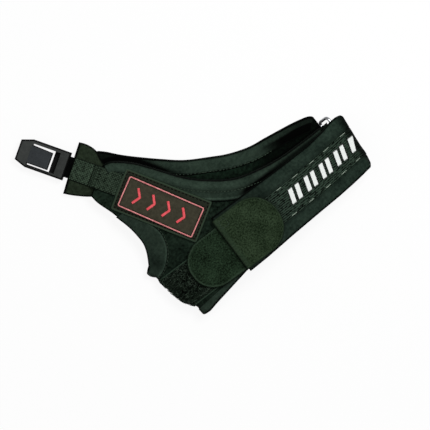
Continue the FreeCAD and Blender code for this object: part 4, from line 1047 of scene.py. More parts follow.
def raised_line(name, line, wide, high, closed=True):
    """A moulded line on the patch: a half-round ridge high over a width, carried along (s, t)
    and turned with the border."""
    line = np.stack(turned(line[:, 0], line[:, 1], BORDER_TURN), axis=1)
    step = (np.roll(line, -1, axis=0) - np.roll(line, 1, axis=0)) if closed else np.gradient(line, axis=0)
    step = step / np.linalg.norm(step, axis=1, keepdims=True)
    across = np.stack([step[:, 1], -step[:, 0]], axis=1)
    turn = np.linspace(0, math.pi, 9)
    side = 0.5 * np.sign(np.cos(turn)) * np.abs(np.cos(turn)) ** 0.6
    reach = np.concatenate([[0.5], side, [-0.5]]) * wide
    rise = np.concatenate([[-0.4], high * np.sin(turn) ** 0.5, [-0.4]])
    s = line[:, None, 0] + reach[None] * across[:, None, 0]
    t = line[:, None, 1] + reach[None] * across[:, None, 1]
    ring = on_patch(s, t, patch_height(s, t) - 0.25 + rise[None])
    rows, columns = ring.shape[:2]
    n = np.arange(rows * columns).reshape(rows, columns)
    if closed:
        n = np.vstack([n, n[:1]])
    after = np.roll(n, -1, axis=1)
    quads = np.stack([n[:-1], after[:-1], after[1:], n[1:]], axis=-1).reshape(-1, 4).tolist()
    caps = [] if closed else [n[0, ::-1].tolist(), n[-1].tolist()]
    # painted shade down the ridge's flanks
    dark = np.broadcast_to(-0.75 * (1 - eased(rise, 0.15 * high, 0.95 * high)), ring.shape[:2])
    flat = np.dstack([s, t]).reshape(-1, 2)
    made = make_object(name, ring.reshape(-1, 3), quads + caps, flat, {"tone": dark})
    face_outwards(made)
    return made


BORDER_INSET, RIDGE_HIGH = 4.1, 0.62
border_line = round_box(PATCH_LONG - 2 * BORDER_INSET, PATCH_WIDE - 2 * BORDER_INSET, 0.7, 220)[:-1]
border_ridge = raised_line("badge_border", border_line, 0.9, RIDGE_HIGH)
fit(border_ridge, "guard", "patch_red", pale_red, "patch_border")


def joined(name, parts):
    """Several meshes as one object: their points and faces one after another."""
    work = bmesh.new()
    for part in parts:
        work.from_mesh(part.data)
    whole = parts[0]
    work.to_mesh(whole.data)
    work.free()
    for part in parts[1:]:
        bpy.data.objects.remove(part)
    whole.name = name
    return whole


chevrons = []
for number in range(4):
    at = PATCH_MIDDLE - 1.6 + (number - 1.5) * 10.4
    arms = np.array([(at - 0.75, 5.2), (at + 2.4, 0.15), (at + 2.4, -0.15), (at - 0.75, -5.2)])
    arms = even(arms, np.linspace(0, 1, 31))
    chevrons.append(raised_line(f"chevron_{number}", arms, 1.7, RIDGE_HIGH, False))
chevron_set = joined("badge_chevrons", chevrons)
fit(chevron_set, "guard", "patch_red", red_rubber, "patch_motif")

# ==== Clip ===================================================================================
# The moulded clip that snaps into the pole's grip: a satin plastic body with broken edges, a
# sprung tongue moulded in its window, and a steel pin through the rear block.
def moved_in(corners, width):
    """Each side of an outline moved towards its middle: P + w n to Q + w n."""
    step = np.roll(corners, -1, axis=0) - corners
    inward = np.stack([-step[:, 1], step[:, 0]], axis=1) / np.linalg.norm(step, axis=1, keepdims=True)
    inward *= np.sign(np.sum((corners.mean(axis=0) - corners) * inward, axis=1))[:, None]
    return np.stack([corners + width * inward, corners + step + width * inward], axis=1)


def eased_copy(name, node, lines):
    """A copy of a CAD node's solid, its loose triangles merged and its flat faces made whole,
    then cut upright along lines in the lead's frame, so the strips beside its edges are faces of
    their own. A Bevel modifier breaks its sharp edges."""
    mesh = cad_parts[node].data.copy()
    work = bmesh.new()
    work.from_mesh(mesh)
    bmesh.ops.remove_doubles(work, verts=work.verts, dist=1e-6)
    bmesh.ops.dissolve_limit(work, angle_limit=math.radians(0.5), verts=work.verts, edges=work.edges)
    bmesh.ops.recalc_face_normals(work, faces=work.faces)
    for start, end in lines:
        ends = on_lead(np.array([start[0], end[0]]), np.array([start[1], end[1]])) + LAYOUT[:2]
        step = ends[1] - ends[0]
        bmesh.ops.bisect_plane(work, geom=[*work.verts, *work.edges, *work.faces], dist=1e-7,
                               plane_co=(*(ends[0] * MM), 0.0), plane_no=(step[1], -step[0], 0.0))
    work.to_mesh(mesh)
    work.free()
    mesh.polygons.foreach_set("use_smooth", np.ones(len(mesh.polygons), bool))
    made = bpy.data.objects.new(name, mesh)
    bpy.context.scene.collection.objects.link(made)
    soft = made.modifiers.new("broken edges", "BEVEL")
    soft.width = 0.2 * MM
    soft.segments = 2
    soft.limit_method = "ANGLE"
    soft.angle_limit = math.radians(25)
    soft.harden_normals = True
    return made


def shade_faces(piece, tone):
    """Gives every face of a copy its tone of painted shade, worked out from its middle (s, t, z)
    in the lead's frame and its normal's rise."""
    faces = piece.data.polygons
    middles, normals = np.zeros(3 * len(faces)), np.zeros(3 * len(faces))
    faces.foreach_get("center", middles)
    faces.foreach_get("normal", normals)
    middles = middles.reshape(-1, 3) / MM - LAYOUT
    away = middles[:, :2] - LEAD
    turn = np.array([math.cos(LEAD_TURN), math.sin(LEAD_TURN)])
    place = np.stack([away @ turn, away @ [-turn[1], turn[0]]], axis=1)
    shades = tone(place, middles[:, 2], normals.reshape(-1, 3)[:, 2])
    mark = piece.data.attributes.new("tone", "FLOAT", "FACE")
    mark.data.foreach_set("value", shades.astype(np.float32))


NOSE_S, REAR_S, CLIP_HALF = -0.95, 32.5, 9.45
clip_outline = np.array([(NOSE_S, 6.75), (6.75, CLIP_HALF), (REAR_S, CLIP_HALF), (REAR_S, -CLIP_HALF),
                         (6.75, -CLIP_HALF), (NOSE_S, -6.75)])
EDGE_SHADE, WINDOW_SHADE = 1.1, 0.6
window = np.array([(7.2, 6.8), (22.27, 6.8), (22.27, -7.3), (7.2, -7.3)])
tongue_sides = np.array([(7.2, 5.9), (21.3, 5.2), (21.3, -6.5), (7.2, -6.5)])


def body_painted_shade(place, z, rise):
    """Painted shade: black within 1.1 mm of the outline and 0.6 mm of the window and in the
    catch pocket, with the rail under the window and the rear block a little darker than the nose."""
    s, t = place.T
    around = distance_to(place, np.vstack([clip_outline, clip_outline[:1]])) < EDGE_SHADE
    beside = distance_to(place, np.vstack([window, window[:1]])) < WINDOW_SHADE
    pocket = (s > 22.1) & (s < 26.2) & (z < 5.0)
    rail = (s > 7.2) & (s < 22.3) & (t < -7.3)
    elsewhere = np.where(rail, -0.6, np.where(s > 25, -0.17, 0))
    return np.where(((around | beside) & (rise > 0.3)) | pocket, -0.98, elsewhere)


def tongue_painted_shade(place, z, rise):
    """Painted shade: black within 0.6 mm of the tongue's free sides."""
    return np.where((distance_to(place, tongue_sides) < WINDOW_SHADE) & (rise > 0.3), -0.98, 0)


clip_nylon = material("clip nylon", rubber,
                      {"Shade": paint(40, 42, 41), "Light": paint(62, 65, 63), "Grain": 3.5, "Gloss": 0.5},
                      vector="object", bump=0.2, depth=0.1, specular=0.1)
body_lines = [*moved_in(clip_outline, EDGE_SHADE), *moved_in(window, -WINDOW_SHADE)]
body = eased_copy("clip_shell", "clip_body", body_lines)
fit(body, "clip", "clip_plastic", clip_nylon, "clip_body")
shade_faces(body, body_painted_shade)
tongue_nylon = material("tongue nylon", rubber,
                        {"Shade": paint(36, 39, 41), "Light": paint(54, 58, 61), "Grain": 3.5, "Gloss": 0.5},
                        vector="object", bump=0.2, depth=0.1, specular=0.1)
tongue = eased_copy("clip_tongue", "latch_tongue", moved_in(tongue_sides, WINDOW_SHADE)[:3])
fit(tongue, "latch", "clip_plastic", tongue_nylon, "latch_tongue")
shade_faces(tongue, tongue_painted_shade)


def wire_group():
    """Drawn steel: fine lines along the wire, small scratches and a dull film."""
    tree, given, result = new_group(
        "drawn steel",
        [("Vector", "Vector", None), ("Shade", "Color", None), ("Light", "Color", None)],
        [("Color", "Color"), ("Roughness", "Float"), ("Height", "Float")])
    stretch = tree.nodes.new("ShaderNodeMapping")
    stretch.inputs["Scale"].default_value = (0.6, 6.0, 6.0)
    tree.links.new(given.outputs["Vector"], stretch.inputs["Vector"])
    lines = noise(tree, stretch.outputs[0], 1.6, 3.0, 0.6)
    film = noise(tree, given.outputs["Vector"], 0.5, 2.0, 0.5)
    tone = maths(tree, "ADD", maths(tree, "MULTIPLY", lines, 0.5), maths(tree, "MULTIPLY", film, 0.5))
    tree.links.new(mix_colour(tree, tone, given.outputs["Shade"], given.outputs["Light"]),
                   result.inputs["Color"])
    tree.links.new(ramp(tree, film, 0.3, 0.7, 0.22, 0.42), result.inputs["Roughness"])
    tree.links.new(lines, result.inputs["Height"])
    return tree


steel = wire_group()
pin_steel = material("pin steel", steel, {"Shade": paint(120, 122, 124), "Light": paint(190, 192, 194)},
                     vector="object", bump=0.1, depth=0.05, metallic=1.0)
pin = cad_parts["hinge_pin"]
pin.data.materials.clear()
pin.data.materials.append(pin_steel)

# ==== Ring and its holder ====================================================================
# A rectangular ring of bent steel wire. Its inner bar is held by a loop of webbing sewn to the
# palm panel, and the strap turns back round its outer bar.
RING_IN = (78.57, 2.6)
FOLD_X, FOLD_Z, FOLD_IN = 84.57, 9.704, 3.3
RING_OUT = (FOLD_X, FOLD_Z - 0.8)
WIRE = 1.0
ring_across = math.hypot(RING_OUT[0] - RING_IN[0], RING_OUT[1] - RING_IN[1])
RING_TOP, RING_LOW = -26.2, -68.0
ring_long = RING_TOP - RING_LOW
quarter = np.linspace(0, math.pi / 2, 8)
loop_parts = []
for number, (x, y) in enumerate([(1, 1), (-1, 1), (-1, -1), (1, -1)]):
    turn = quarter + number * math.pi / 2
    loop_parts.append(np.stack([x * (ring_across / 2 - 2.2) + 2.2 * np.cos(turn),
                                y * (ring_long / 2 - 2.2) + 2.2 * np.sin(turn)], axis=1))
flat_ring = np.vstack(loop_parts + [loop_parts[0][:1]])
flat_ring = even(flat_ring, np.linspace(0, 1, 161))[:-1]
lean = np.array([RING_OUT[0] - RING_IN[0], 0, RING_OUT[1] - RING_IN[1]]) / ring_across
ring_middle = np.array([(RING_IN[0] + RING_OUT[0]) / 2, (RING_TOP + RING_LOW) / 2,
                        (RING_IN[1] + RING_OUT[1]) / 2])
ring_path = ring_middle + flat_ring[:, :1] * lean + flat_ring[:, 1:] * np.array([0, 1.0, 0])
along_ring = np.roll(ring_path, -1, axis=0) - np.roll(ring_path, 1, axis=0)
along_ring /= np.linalg.norm(along_ring, axis=1, keepdims=True)
ring_up = np.cross(lean, [0, 1.0, 0])
ring_side = np.cross(along_ring, ring_up)
around = np.linspace(0, 2 * math.pi, 20, endpoint=False)
tube = (ring_path[:, None] + WIRE * np.cos(around)[None, :, None] * ring_side[:, None]
        + WIRE * np.sin(around)[None, :, None] * ring_up)
n = np.arange(tube.shape[0] * tube.shape[1]).reshape(tube.shape[:2])
n = np.vstack([n, n[:1]])
after = np.roll(n, -1, axis=1)
quads = np.stack([n[:-1], after[:-1], after[1:], n[1:]], axis=-1).reshape(-1, 4).tolist()
run = np.arange(tube.shape[0])[:, None] * 0.6 + np.zeros(tube.shape[1])
wire_uv = np.dstack([run, np.broadcast_to(around * WIRE, run.shape)]).reshape(-1, 2)
wire_ring = make_object("wire_ring", tube.reshape(-1, 3), quads, wire_uv)
face_outwards(wire_ring)
ring_steel = material("ring steel", steel, {"Shade": paint(110, 113, 115), "Light": paint(225, 227, 230)},
                      bump=0.1, depth=0.05, metallic=1.0)
fit(wire_ring, "ring", "ring_wire", ring_steel, "ring")

HOLDER = 2.42
turn = np.linspace(-math.pi / 2 - 0.2, math.pi / 2, 17)
eye = np.stack([RING_IN[0] + HOLDER * np.cos(turn), RING_IN[1] + HOLDER * np.sin(turn)], axis=1)
holder_profile = np.vstack([
    eye, [(77.0, 4.75), (74.5, 4.42), (70.0, 4.38), (66.9, 4.3), (66.6, 3.9), (66.6, 3.4), (67.0, 3.08),
          (74.0, 3.04), (76.0, 2.6), (76.25, 1.9), (77.0, 1.0)]])
holder_y = np.array([-65.1, -64.9, -64.4, -60.0, -50.0, -40.0, -29.7, -29.2, -29.0])
holder_ring = np.empty((len(holder_y), len(holder_profile), 3))
holder_ring[..., 0] = holder_profile[:, 0]
holder_ring[..., 1] = holder_y[:, None]
holder_ring[..., 2] = holder_profile[:, 1]
shrink = np.array([0.12, 0.05, 0, 0, 0, 0, 0, 0.05, 0.12])[:, None]
holder_ring[..., 2] -= shrink * (holder_ring[..., 2] - 3.0) * 0.5
holder = extruded("ring_loop_webbing", holder_ring)
fit(holder, "guard", "webbing", shaded_black_webbing, "ring_holder")

# ==== Wrist strap ============================================================================
# The neoprene strap that comes from the panel's end, goes round the ring and back over the
# wrist. Its faces are jersey, with rolled sides and a shallow channel under each row of thread.
STRAP_LOW, STRAP_THICK = 4.3, NEOPRENE   # the strap's underside above the shell's inside
STRAP_START_X = -14.4
strap_centre = math.degrees(math.atan2(FOLD_X - ARCH_X, FOLD_Z - ARCH_Z))
between_centres = math.hypot(FOLD_X - ARCH_X, FOLD_Z - ARCH_Z)
STRAP_SLOPE = math.radians(strap_centre) - math.acos((ARCH_RADIUS + STRAP_LOW - FOLD_IN) / between_centres)
STRAP_ARC = ARCH_RADIUS + STRAP_LOW + MIDDLE_UP
STRAIGHT = math.sqrt(between_centres ** 2 - (ARCH_RADIUS + STRAP_LOW - FOLD_IN) ** 2)
FOLD_ARC = FOLD_IN + MIDDLE_UP
START_TURN = math.asin((STRAP_START_X - ARCH_X) / STRAP_ARC)
ARC_LONG = STRAP_ARC * (STRAP_SLOPE - START_TURN)
FOLD_LONG = FOLD_ARC * (math.pi + LEG_SLOPE - STRAP_SLOPE)
STRAP_LONG = ARC_LONG + STRAIGHT + FOLD_LONG


def fold_skew(run, y):
    """How much further out than its bend the fold's outer face lies, as it sits 6 degrees askew
    and bulges at y = -59.5: 0.105 (y + 50) + 0.55 exp(-((y + 59.5) / 4)^2) where it faces along
    +X, and nothing where it faces up or down."""
    turn = STRAP_SLOPE + np.maximum(run - ARC_LONG - STRAIGHT, 0) / FOLD_ARC
    return (0.105 * (y + 50.0) + 0.55 * np.exp(-((y + 59.5) / 4.0) ** 2)) * eased(np.sin(turn), 0.3, 0.9)


def on_strap(run, y, offset):
    """Points at an offset above the strap's underside and a run along its middle: round the
    wrist arch, then straight, then round the ring's bar, always along the line's own normal."""
    run, y, offset = np.broadcast_arrays(np.asarray(run, float), y, offset)
    turn = START_TURN + np.minimum(run, ARC_LONG) / STRAP_ARC
    fold = np.maximum(run - ARC_LONG - STRAIGHT, 0)
    turn = np.where(run > ARC_LONG, STRAP_SLOPE, turn) + fold / FOLD_ARC
    nx, nz = np.sin(turn), np.cos(turn)
    reach = ARCH_RADIUS + STRAP_LOW
    line = np.clip(run - ARC_LONG, 0, STRAIGHT)
    x = ARCH_X + reach * nx + line * math.cos(STRAP_SLOPE)
    z = ARCH_Z + reach * nz - line * math.sin(STRAP_SLOPE)
    x = np.where(fold > 0, FOLD_X + FOLD_IN * nx, x) + offset * nx
    z = np.where(fold > 0, FOLD_Z + FOLD_IN * nz, z) + offset * nz
    askew = fold_skew(run, y) * np.clip(offset / STRAP_THICK, 0, 1)
    return np.stack([x + askew * nx, y, z + askew * nz], axis=-1)


def run_at(x):
    """The run along the strap over a plan x, for places before the fold."""
    on_arch = STRAP_ARC * (np.arcsin(np.clip((x - ARCH_X) / STRAP_ARC, -1, 1)) - START_TURN)
    on_line = ARC_LONG + (x - ARCH_X - STRAP_ARC * math.sin(STRAP_SLOPE)) / math.cos(STRAP_SLOPE)
    return np.where(on_arch < ARC_LONG, on_arch, on_line)


top_keys = np.array([
    (STRAP_START_X, -33.2), (20, -33.5), (45, -33.6), (62, -33.3), (75.2, -31.6), (84.0, -29.7), (88, -29.5),
    (90, -29.9), (91.5, -31.0)])
low_keys = np.array([
    (STRAP_START_X, -75.45), (0, -74.9), (20, -73.45), (40, -72.4), (60, -71.6), (72, -70.7), (80, -69.9),
    (84, -69.3), (87, -69.0), (89.5, -68.5), (91.5, -67.6)])


def strap_sides(run):
    """The strap's upper and lower y at a run, read from its width along the wrist."""
    top = np.interp(run, run_at(top_keys[:, 0]), top_keys[:, 1])
    low = np.interp(run, run_at(low_keys[:, 0]), low_keys[:, 1])
    return top, low


fold_start = ARC_LONG + STRAIGHT
runs = np.concatenate([
    EDGE_STEPS[:-1], np.arange(2.6, fold_start - 1.0, 1.2), np.linspace(fold_start, STRAP_LONG - 2.6, 44),
    STRAP_LONG + 0.6 - EDGE_STEPS[-2::-1]])
top_y, low_y = strap_sides(runs)
plan = between(np.stack([runs, top_y], axis=1), np.stack([runs, low_y], axis=1), 1.0)
TAPE_Y, TAPE_THICK = -53.8, 0.8


def tape_line(run):
    """The middle of the tape across the strap, drifting towards the hand at the ring."""
    share = np.clip((run - run_at(20.0)) / (run_at(FOLD_X) - run_at(20.0)), 0, 1)
    return TAPE_Y + 3.3 * share ** 2


full = plan_rounding(plan, 1.8)
middle = on_strap(plan[..., 0], plan[..., 1], STRAP_THICK / 2)
beside_tape = np.abs(plan[..., 1] - tape_line(plan[..., 0]))
at_fold = eased(plan[..., 0], fold_start - 9.0, fold_start + 4.0)
relief = (-0.25 * np.exp(-((beside_tape - 12.0) / 1.1) ** 2) * (1 - at_fold)
          + 0.3 * at_fold * eased(beside_tape, 10.2, 10.8)
          + 0.12 * waves(plan[..., 0], plan[..., 1], 12, (26.0, 17.0)) * (1 - at_fold)
          + fold_skew(plan[..., 0], plan[..., 1]) / 2)
# painted shade beside the tape's edges and over the fold round the ring; darker on the upper flank towards
# the cover
strap_tone = (-0.3 * np.exp(-((beside_tape - 11.0) / 0.8) ** 2)
              - 0.35 * (1 - eased(plan[..., 0], run_at(18.0), run_at(36.0))) * (plan[..., 1] > -50)
              - 0.8 * eased(plan[..., 0], fold_start, fold_start + 4.0))
strap_cloth = material(
    "strap jersey", jersey,
    {"Shade": paint(15, 25, 20), "Light": paint(43, 57, 48), "Loops": 1.8, "Mottle": 1.6},
    bump=0.35, depth=0.25, sheen=0.02)
strap = closed_sheet("strap_neoprene", middle, full * STRAP_THICK / 2, plan, relief=relief, tone=strap_tone)
fit(strap, None, "neoprene", strap_cloth, "wrist_strap", "strap_fold")
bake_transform(strap)

# ==== Strap tape, thread and reflective bars =================================================
# A dark ribbed tape down the middle of the strap and round the fold, held by two rows of long
# light stitches, with slanted reflective bars welded on its face.
TAPE_HALF = 10.25
tape_runs = np.concatenate([
    run_at(12.0) + EDGE_STEPS[:-1], np.arange(run_at(12.0) + 2.6, fold_start - 1.0, 1.0),
    np.linspace(fold_start, STRAP_LONG - 2.6, 44), STRAP_LONG + 0.3 - EDGE_STEPS[-2::-1]])
offsets = np.concatenate([-TAPE_HALF + EDGE_STEPS[:5], np.arange(-TAPE_HALF + 1.0, TAPE_HALF - 0.99, 0.25),
                          TAPE_HALF - EDGE_STEPS[4::-1]])
tape_run, tape_side = np.meshgrid(tape_runs, offsets, indexing="ij")
tape_y = tape_line(tape_run) + tape_side
full = rounding(TAPE_HALF - np.abs(tape_side), 0.4)
full = np.minimum(full, rounding(np.minimum(tape_run - tape_runs[0], tape_runs[-1] - tape_run), 0.4))
ribs = 0.08 * np.abs(np.sin(math.pi * tape_side / 1.1)) + 0.02 * waves(tape_run, tape_side, 5, (9.0, 6.0))
sunk = 0.5 * eased(tape_run, fold_start - 1.0, fold_start + 4.0)
middle = on_strap(tape_run, tape_y, STRAP_THICK + TAPE_THICK / 2 - sunk)
tape_cloth = material(
    "ribbed tape", weave,
    {"Shade": paint(1, 3, 1), "Light": paint(46, 60, 50), "Along": 1.1, "Across": 1 / 1.3, "Rib": 1.1,
     "Weave": 0.2, "Mottle": 1.2, "Streak": 5.5},
    bump=0.5, depth=0.3)
# painted shade over the fold round the ring, and darker towards the cover
tape = closed_sheet("centre_tape", middle, full * 0.4, np.dstack([tape_run, tape_side]), relief=ribs,
                    tone=-0.8 * eased(tape_run, fold_start - 2.0, fold_start + 2.0)
                    - 0.45 * (1 - eased(tape_run, run_at(15.0), run_at(30.0))))
fit(tape, None, "strap_tape", tape_cloth, "strap_tape", "tape_fold")
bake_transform(tape)


def thread_group():
    """Twisted thread: slanting plies, h = |sin(pi (2.2 u + 3 v))|, over fuzz."""
    tree, given, result = new_group(
        "twisted thread",
        [("Vector", "Vector", None), ("Shade", "Color", None), ("Light", "Color", None)],
        [("Color", "Color"), ("Roughness", "Float"), ("Height", "Float")])
    x, y, z = split(tree, given.outputs["Vector"])
    ply = maths(tree, "ADD", maths(tree, "MULTIPLY", x, 2.2), maths(tree, "MULTIPLY", y, 3.0))
    ply = maths(tree, "ABSOLUTE", maths(tree, "SINE", maths(tree, "MULTIPLY", ply, math.pi)))
    fuzz = noise(tree, given.outputs["Vector"], 5.0, 2.0, 0.6)
    tone = maths(tree, "ADD", maths(tree, "MULTIPLY", ply, 0.5), maths(tree, "MULTIPLY", fuzz, 0.5))
    tree.links.new(mix_colour(tree, tone, given.outputs["Shade"], given.outputs["Light"]),
                   result.inputs["Color"])
    tree.links.new(ramp(tree, fuzz, 0.3, 0.7, 0.6, 0.8), result.inputs["Roughness"])
    tree.links.new(ply, result.inputs["Height"])
    return tree


thread_effect = thread_group()


def stitches(name, line, normal, pitch, long, radius, lift=0.0, seed=1, spread=0.12):
    """A row of stitches along a line in space: each is a capsule of five rings whose middle
    stands proud and whose ends sink, h = lift + r (sin(pi u) - 0.55). Lengths vary a little."""
    run = np.concatenate([[0], np.cumsum(np.linalg.norm(np.diff(line, axis=0), axis=1))])
    count = max(1, int(run[-1] / pitch))
    random = np.random.default_rng(seed)
    start = (np.arange(count) + 0.5) * run[-1] / count - long / 2
    start += random.uniform(-spread, spread, count) * (pitch - long + 0.3)
    stretch = long * (1 + random.uniform(-spread, spread, count))
    u = np.array([0.0, 0.12, 0.5, 0.88, 1.0])
    at = np.clip(start[:, None] + stretch[:, None] * u, 0, run[-1])
    centre = np.stack([np.interp(at, run, c) for c in line.T], axis=-1)
    up = np.stack([np.interp(at, run, c) for c in normal.T], axis=-1)
    along = centre[:, -1:] - centre[:, :1]
    along = along / (np.linalg.norm(along, axis=-1, keepdims=True) + 1e-9)
    side = np.cross(np.broadcast_to(along, up.shape), up)
    side /= np.linalg.norm(side, axis=-1, keepdims=True) + 1e-9
    size = radius * np.array([0.35, 0.85, 1.0, 0.85, 0.35])
    rise = lift + radius * (np.sin(math.pi * u) - 0.55)
    turn = np.linspace(0, 2 * math.pi, 6, endpoint=False)
    points = (centre[:, :, None] + up[:, :, None] * (rise[None, :, None, None])
              + size[None, :, None, None] * (np.cos(turn)[None, None, :, None] * side[:, :, None]
                                             + np.sin(turn)[None, None, :, None] * up[:, :, None]))
    n = np.arange(count * 30).reshape(count, 5, 6)
    after = np.roll(n, -1, axis=2)
    quads = np.stack([n[:, :-1], after[:, :-1], after[:, 1:], n[:, 1:]], axis=-1).reshape(-1, 4).tolist()
    caps = n[:, 0, ::-1].tolist() + n[:, -1].tolist()
    flat = np.stack(np.broadcast_arrays(at[:, :, None], turn * radius), axis=-1).reshape(-1, 2)
    made = make_object(name, points.reshape(-1, 3), quads + caps, flat)
    face_outwards(made)
    return made


def strap_line(x0, x1, y_from_run, offset):
    """A line on the strap and its normals, from one plan x to another."""
    run = np.linspace(run_at(x0), run_at(x1), 240)
    line = on_strap(run, y_from_run(run), offset)
    higher = on_strap(run, y_from_run(run), offset + 1.0)
    return line, higher - line


light_thread = material("light thread", thread_effect,
                        {"Shade": paint(90, 104, 92), "Light": paint(176, 190, 174)}, bump=0.3, depth=0.1)
dark_thread = material("dark thread", thread_effect,
                       {"Shade": paint(16, 23, 17), "Light": paint(66, 82, 68)}, bump=0.3, depth=0.1)
black_thread = material("black thread", thread_effect,
                        {"Shade": paint(1, 2, 1), "Light": paint(16, 20, 16)}, bump=0.3, depth=0.1)
rows = []
for number, side in enumerate((-1, 1)):
    line, normal = strap_line(23.3, 89.0, lambda run: tape_line(run) + side * 9.3, STRAP_THICK + TAPE_THICK)
    rows.append(stitches(f"row_{number}", line, normal, 12.2, 4.8, 0.21, 0.05, 3 + number, 0.12))
long_stitches = joined("long_stitches", rows)
fit(long_stitches, "strap", "thread", light_thread, "strap_stitches")


def print_group():
    """Reflective foil: a pale face of tiny glass beads, with worn specks over it."""
    tree, given, result = new_group(
        "reflective foil",
        [("Vector", "Vector", None), ("Shade", "Color", None), ("Light", "Color", None)],
        [("Color", "Color"), ("Roughness", "Float"), ("Height", "Float")])
    beads = tree.nodes.new("ShaderNodeTexVoronoi")
    tree.links.new(given.outputs["Vector"], beads.inputs["Vector"])
    beads.inputs["Scale"].default_value = 5.0
    worn = ramp(tree, noise(tree, given.outputs["Vector"], 1.3, 3.0, 0.65), 0.62, 0.72)
    tone = maths(tree, "SUBTRACT", 1.0, maths(tree, "MULTIPLY", worn, 0.6))
    tone = maths(tree, "SUBTRACT", tone, maths(tree, "MULTIPLY", beads.outputs["Distance"], 0.25))
    tree.links.new(mix_colour(tree, tone, given.outputs["Shade"], given.outputs["Light"]),
                   result.inputs["Color"])
    tree.links.new(ramp(tree, worn, 0.0, 1.0, 0.35, 0.6), result.inputs["Roughness"])
    tree.links.new(beads.outputs["Distance"], result.inputs["Height"])
    return tree


foil = material("reflective foil", print_group(),
                {"Shade": paint(160, 166, 162), "Light": paint(230, 234, 231)}, bump=0.15, depth=0.1)
KEYLINE = 0.7                            # the black line printed round each bar
bars = []
for number in range(10):
    x = 32.0 + (number // 2) * 12.6 + (number % 2) * 5.2
    if x > 86:
        continue
    run0 = float(run_at(x))
    steps = np.linspace(0, 1, 13)
    sides = []
    for add in (-KEYLINE, 3.0 + KEYLINE):
        y = TAPE_Y + 0.6 - 4.25 - KEYLINE + (8.5 + 2 * KEYLINE) * steps
        sides.append(np.stack([run0 + add + 3.2 * steps, y + (tape_line(run0) - TAPE_Y)], axis=1))
    grid = between(sides[0], sides[1], 0.35)
    full = plan_rounding(grid, 0.3)
    middle = on_strap(grid[..., 0], grid[..., 1], STRAP_THICK + TAPE_THICK + 0.08)
    gap = distance_to(grid, even(grid_outline(grid), np.linspace(0, 1, 120)))
    bars.append(closed_sheet(f"bar_{number}", middle, full * 0.16, grid,
                             tone=-0.99 * (1 - eased(gap, KEYLINE - 0.15, KEYLINE + 0.1)), edge=-0.99))
bar_set = joined("reflective_marks", bars)
fit(bar_set, "strap", "reflective", foil, "reflective_bars")

# ==== Cover over the strap's end and the pull tab ============================================
# Thick hook cloth is folded over the strap's cut end and sewn through, and a rounded tab with
# the hooks on its underside comes out from between its layers and presses on the loop strip.
def rounded_plan(straight_x, tip_x, top, low, round_from, step):
    """A tab's plan: straight sides out to round_from, then half an ellipse to a narrow flat tip."""
    middle_y, bulge = (top + low) / 2, (top - low) / 2
    turn = np.linspace(0, math.pi / 2 - 0.08, 30)
    reach = tip_x - round_from
    curve_x = round_from + reach * np.sin(turn)
    curve_y = bulge * np.cos(turn) ** 0.92
    upper = np.vstack([[(straight_x, top)], np.stack([curve_x, middle_y + curve_y], axis=1)])
    lower = np.vstack([[(straight_x, low)], np.stack([curve_x, middle_y - curve_y], axis=1)])
    shares = stations(length_of(upper), step)
    return between(even(upper, shares), even(lower, shares), step)


cover_cloth = pile_material("cover hook cloth", paint(15, 26, 13), paint(51, 66, 47),
                            paint(46, 62, 46), 1.0, 2.4, 0.3, 0.6)
tab_cloth = pile_material("tab hook cloth", paint(8, 17, 8), paint(42, 60, 43),
                          paint(52, 68, 54), 1.0, 2.4, 0.35, 0.6)
plan = rounded_plan(-14.7, 22.5, -35.3, -73.5, 4.6, 0.9)
run = run_at(plan[..., 0])
tip_gap = plan[..., 0] + 14.7
wrap = 1.9 * (1 - rounding(tip_gap, 2.0))
middle = on_strap(run, plan[..., 1], STRAP_THICK + 0.8 - wrap)
edge_gap = distance_to(plan, even(grid_outline(plan), np.linspace(0, 1, 200)))
relief = (0.1 * waves(plan[..., 0], plan[..., 1], 7, (3.0, 1.8))
          - 0.3 * np.exp(-((edge_gap - 1.7) / 0.5) ** 2))
selvedge = (0.85 * (1 - eased(edge_gap, 0.4, 1.1))
            + 0.5 * (1 - eased(tip_gap, 3.0, 3.8)) * (edge_gap > 1.1))
cover = closed_sheet("strap_end_fold", middle, 0.8 * plan_rounding(plan, 0.8), plan, relief=relief,
                     edge=-0.7, marks={"selvedge": selvedge})
fit(cover, "strap", "hook_fabric", cover_cloth, "strap_end_cover")

square = np.array([(-12.0, -38.2), (-7.0, -38.2), (-7.0, -43.2), (-12.0, -43.2), (-12.0, -38.2)])
parts = []
for number in range(4):
    ends = even(square[number:number + 2], np.linspace(0, 1, 20))
    line = on_strap(run_at(ends[:, 0]), ends[:, 1], STRAP_THICK + 1.62)
    normal = on_strap(run_at(ends[:, 0]), ends[:, 1], STRAP_THICK + 2.62) - line
    parts.append(stitches(f"side_{number}", line, normal, 1.6, 1.25, 0.22, 0.05, 20 + number))
box_row = joined("box_of_stitches", parts)
fit(box_row, "strap", "thread", dark_thread, "box_stitch")

TAB_LOW = 0.8                            # the tab's underside above the strap's own
plan = rounded_plan(-8.6, -46.2, -39.5, -73.1, -29.0, 0.9)
run = STRAP_ARC * (np.arcsin((plan[..., 0] - ARCH_X) / STRAP_ARC) - START_TURN)
edge_gap = distance_to(plan, even(grid_outline(plan), np.linspace(0, 1, 200)))
curl = 0.35 * (1 - eased(edge_gap, 0, 5.0)) * eased(-plan[..., 0], 18, 30)
middle = on_strap(run, plan[..., 1], TAB_LOW + 0.6 + curl)
relief = (0.1 * waves(plan[..., 0], plan[..., 1], 9, (3.0, 1.8))
          - 0.25 * np.exp(-((edge_gap - 1.6) / 0.5) ** 2))
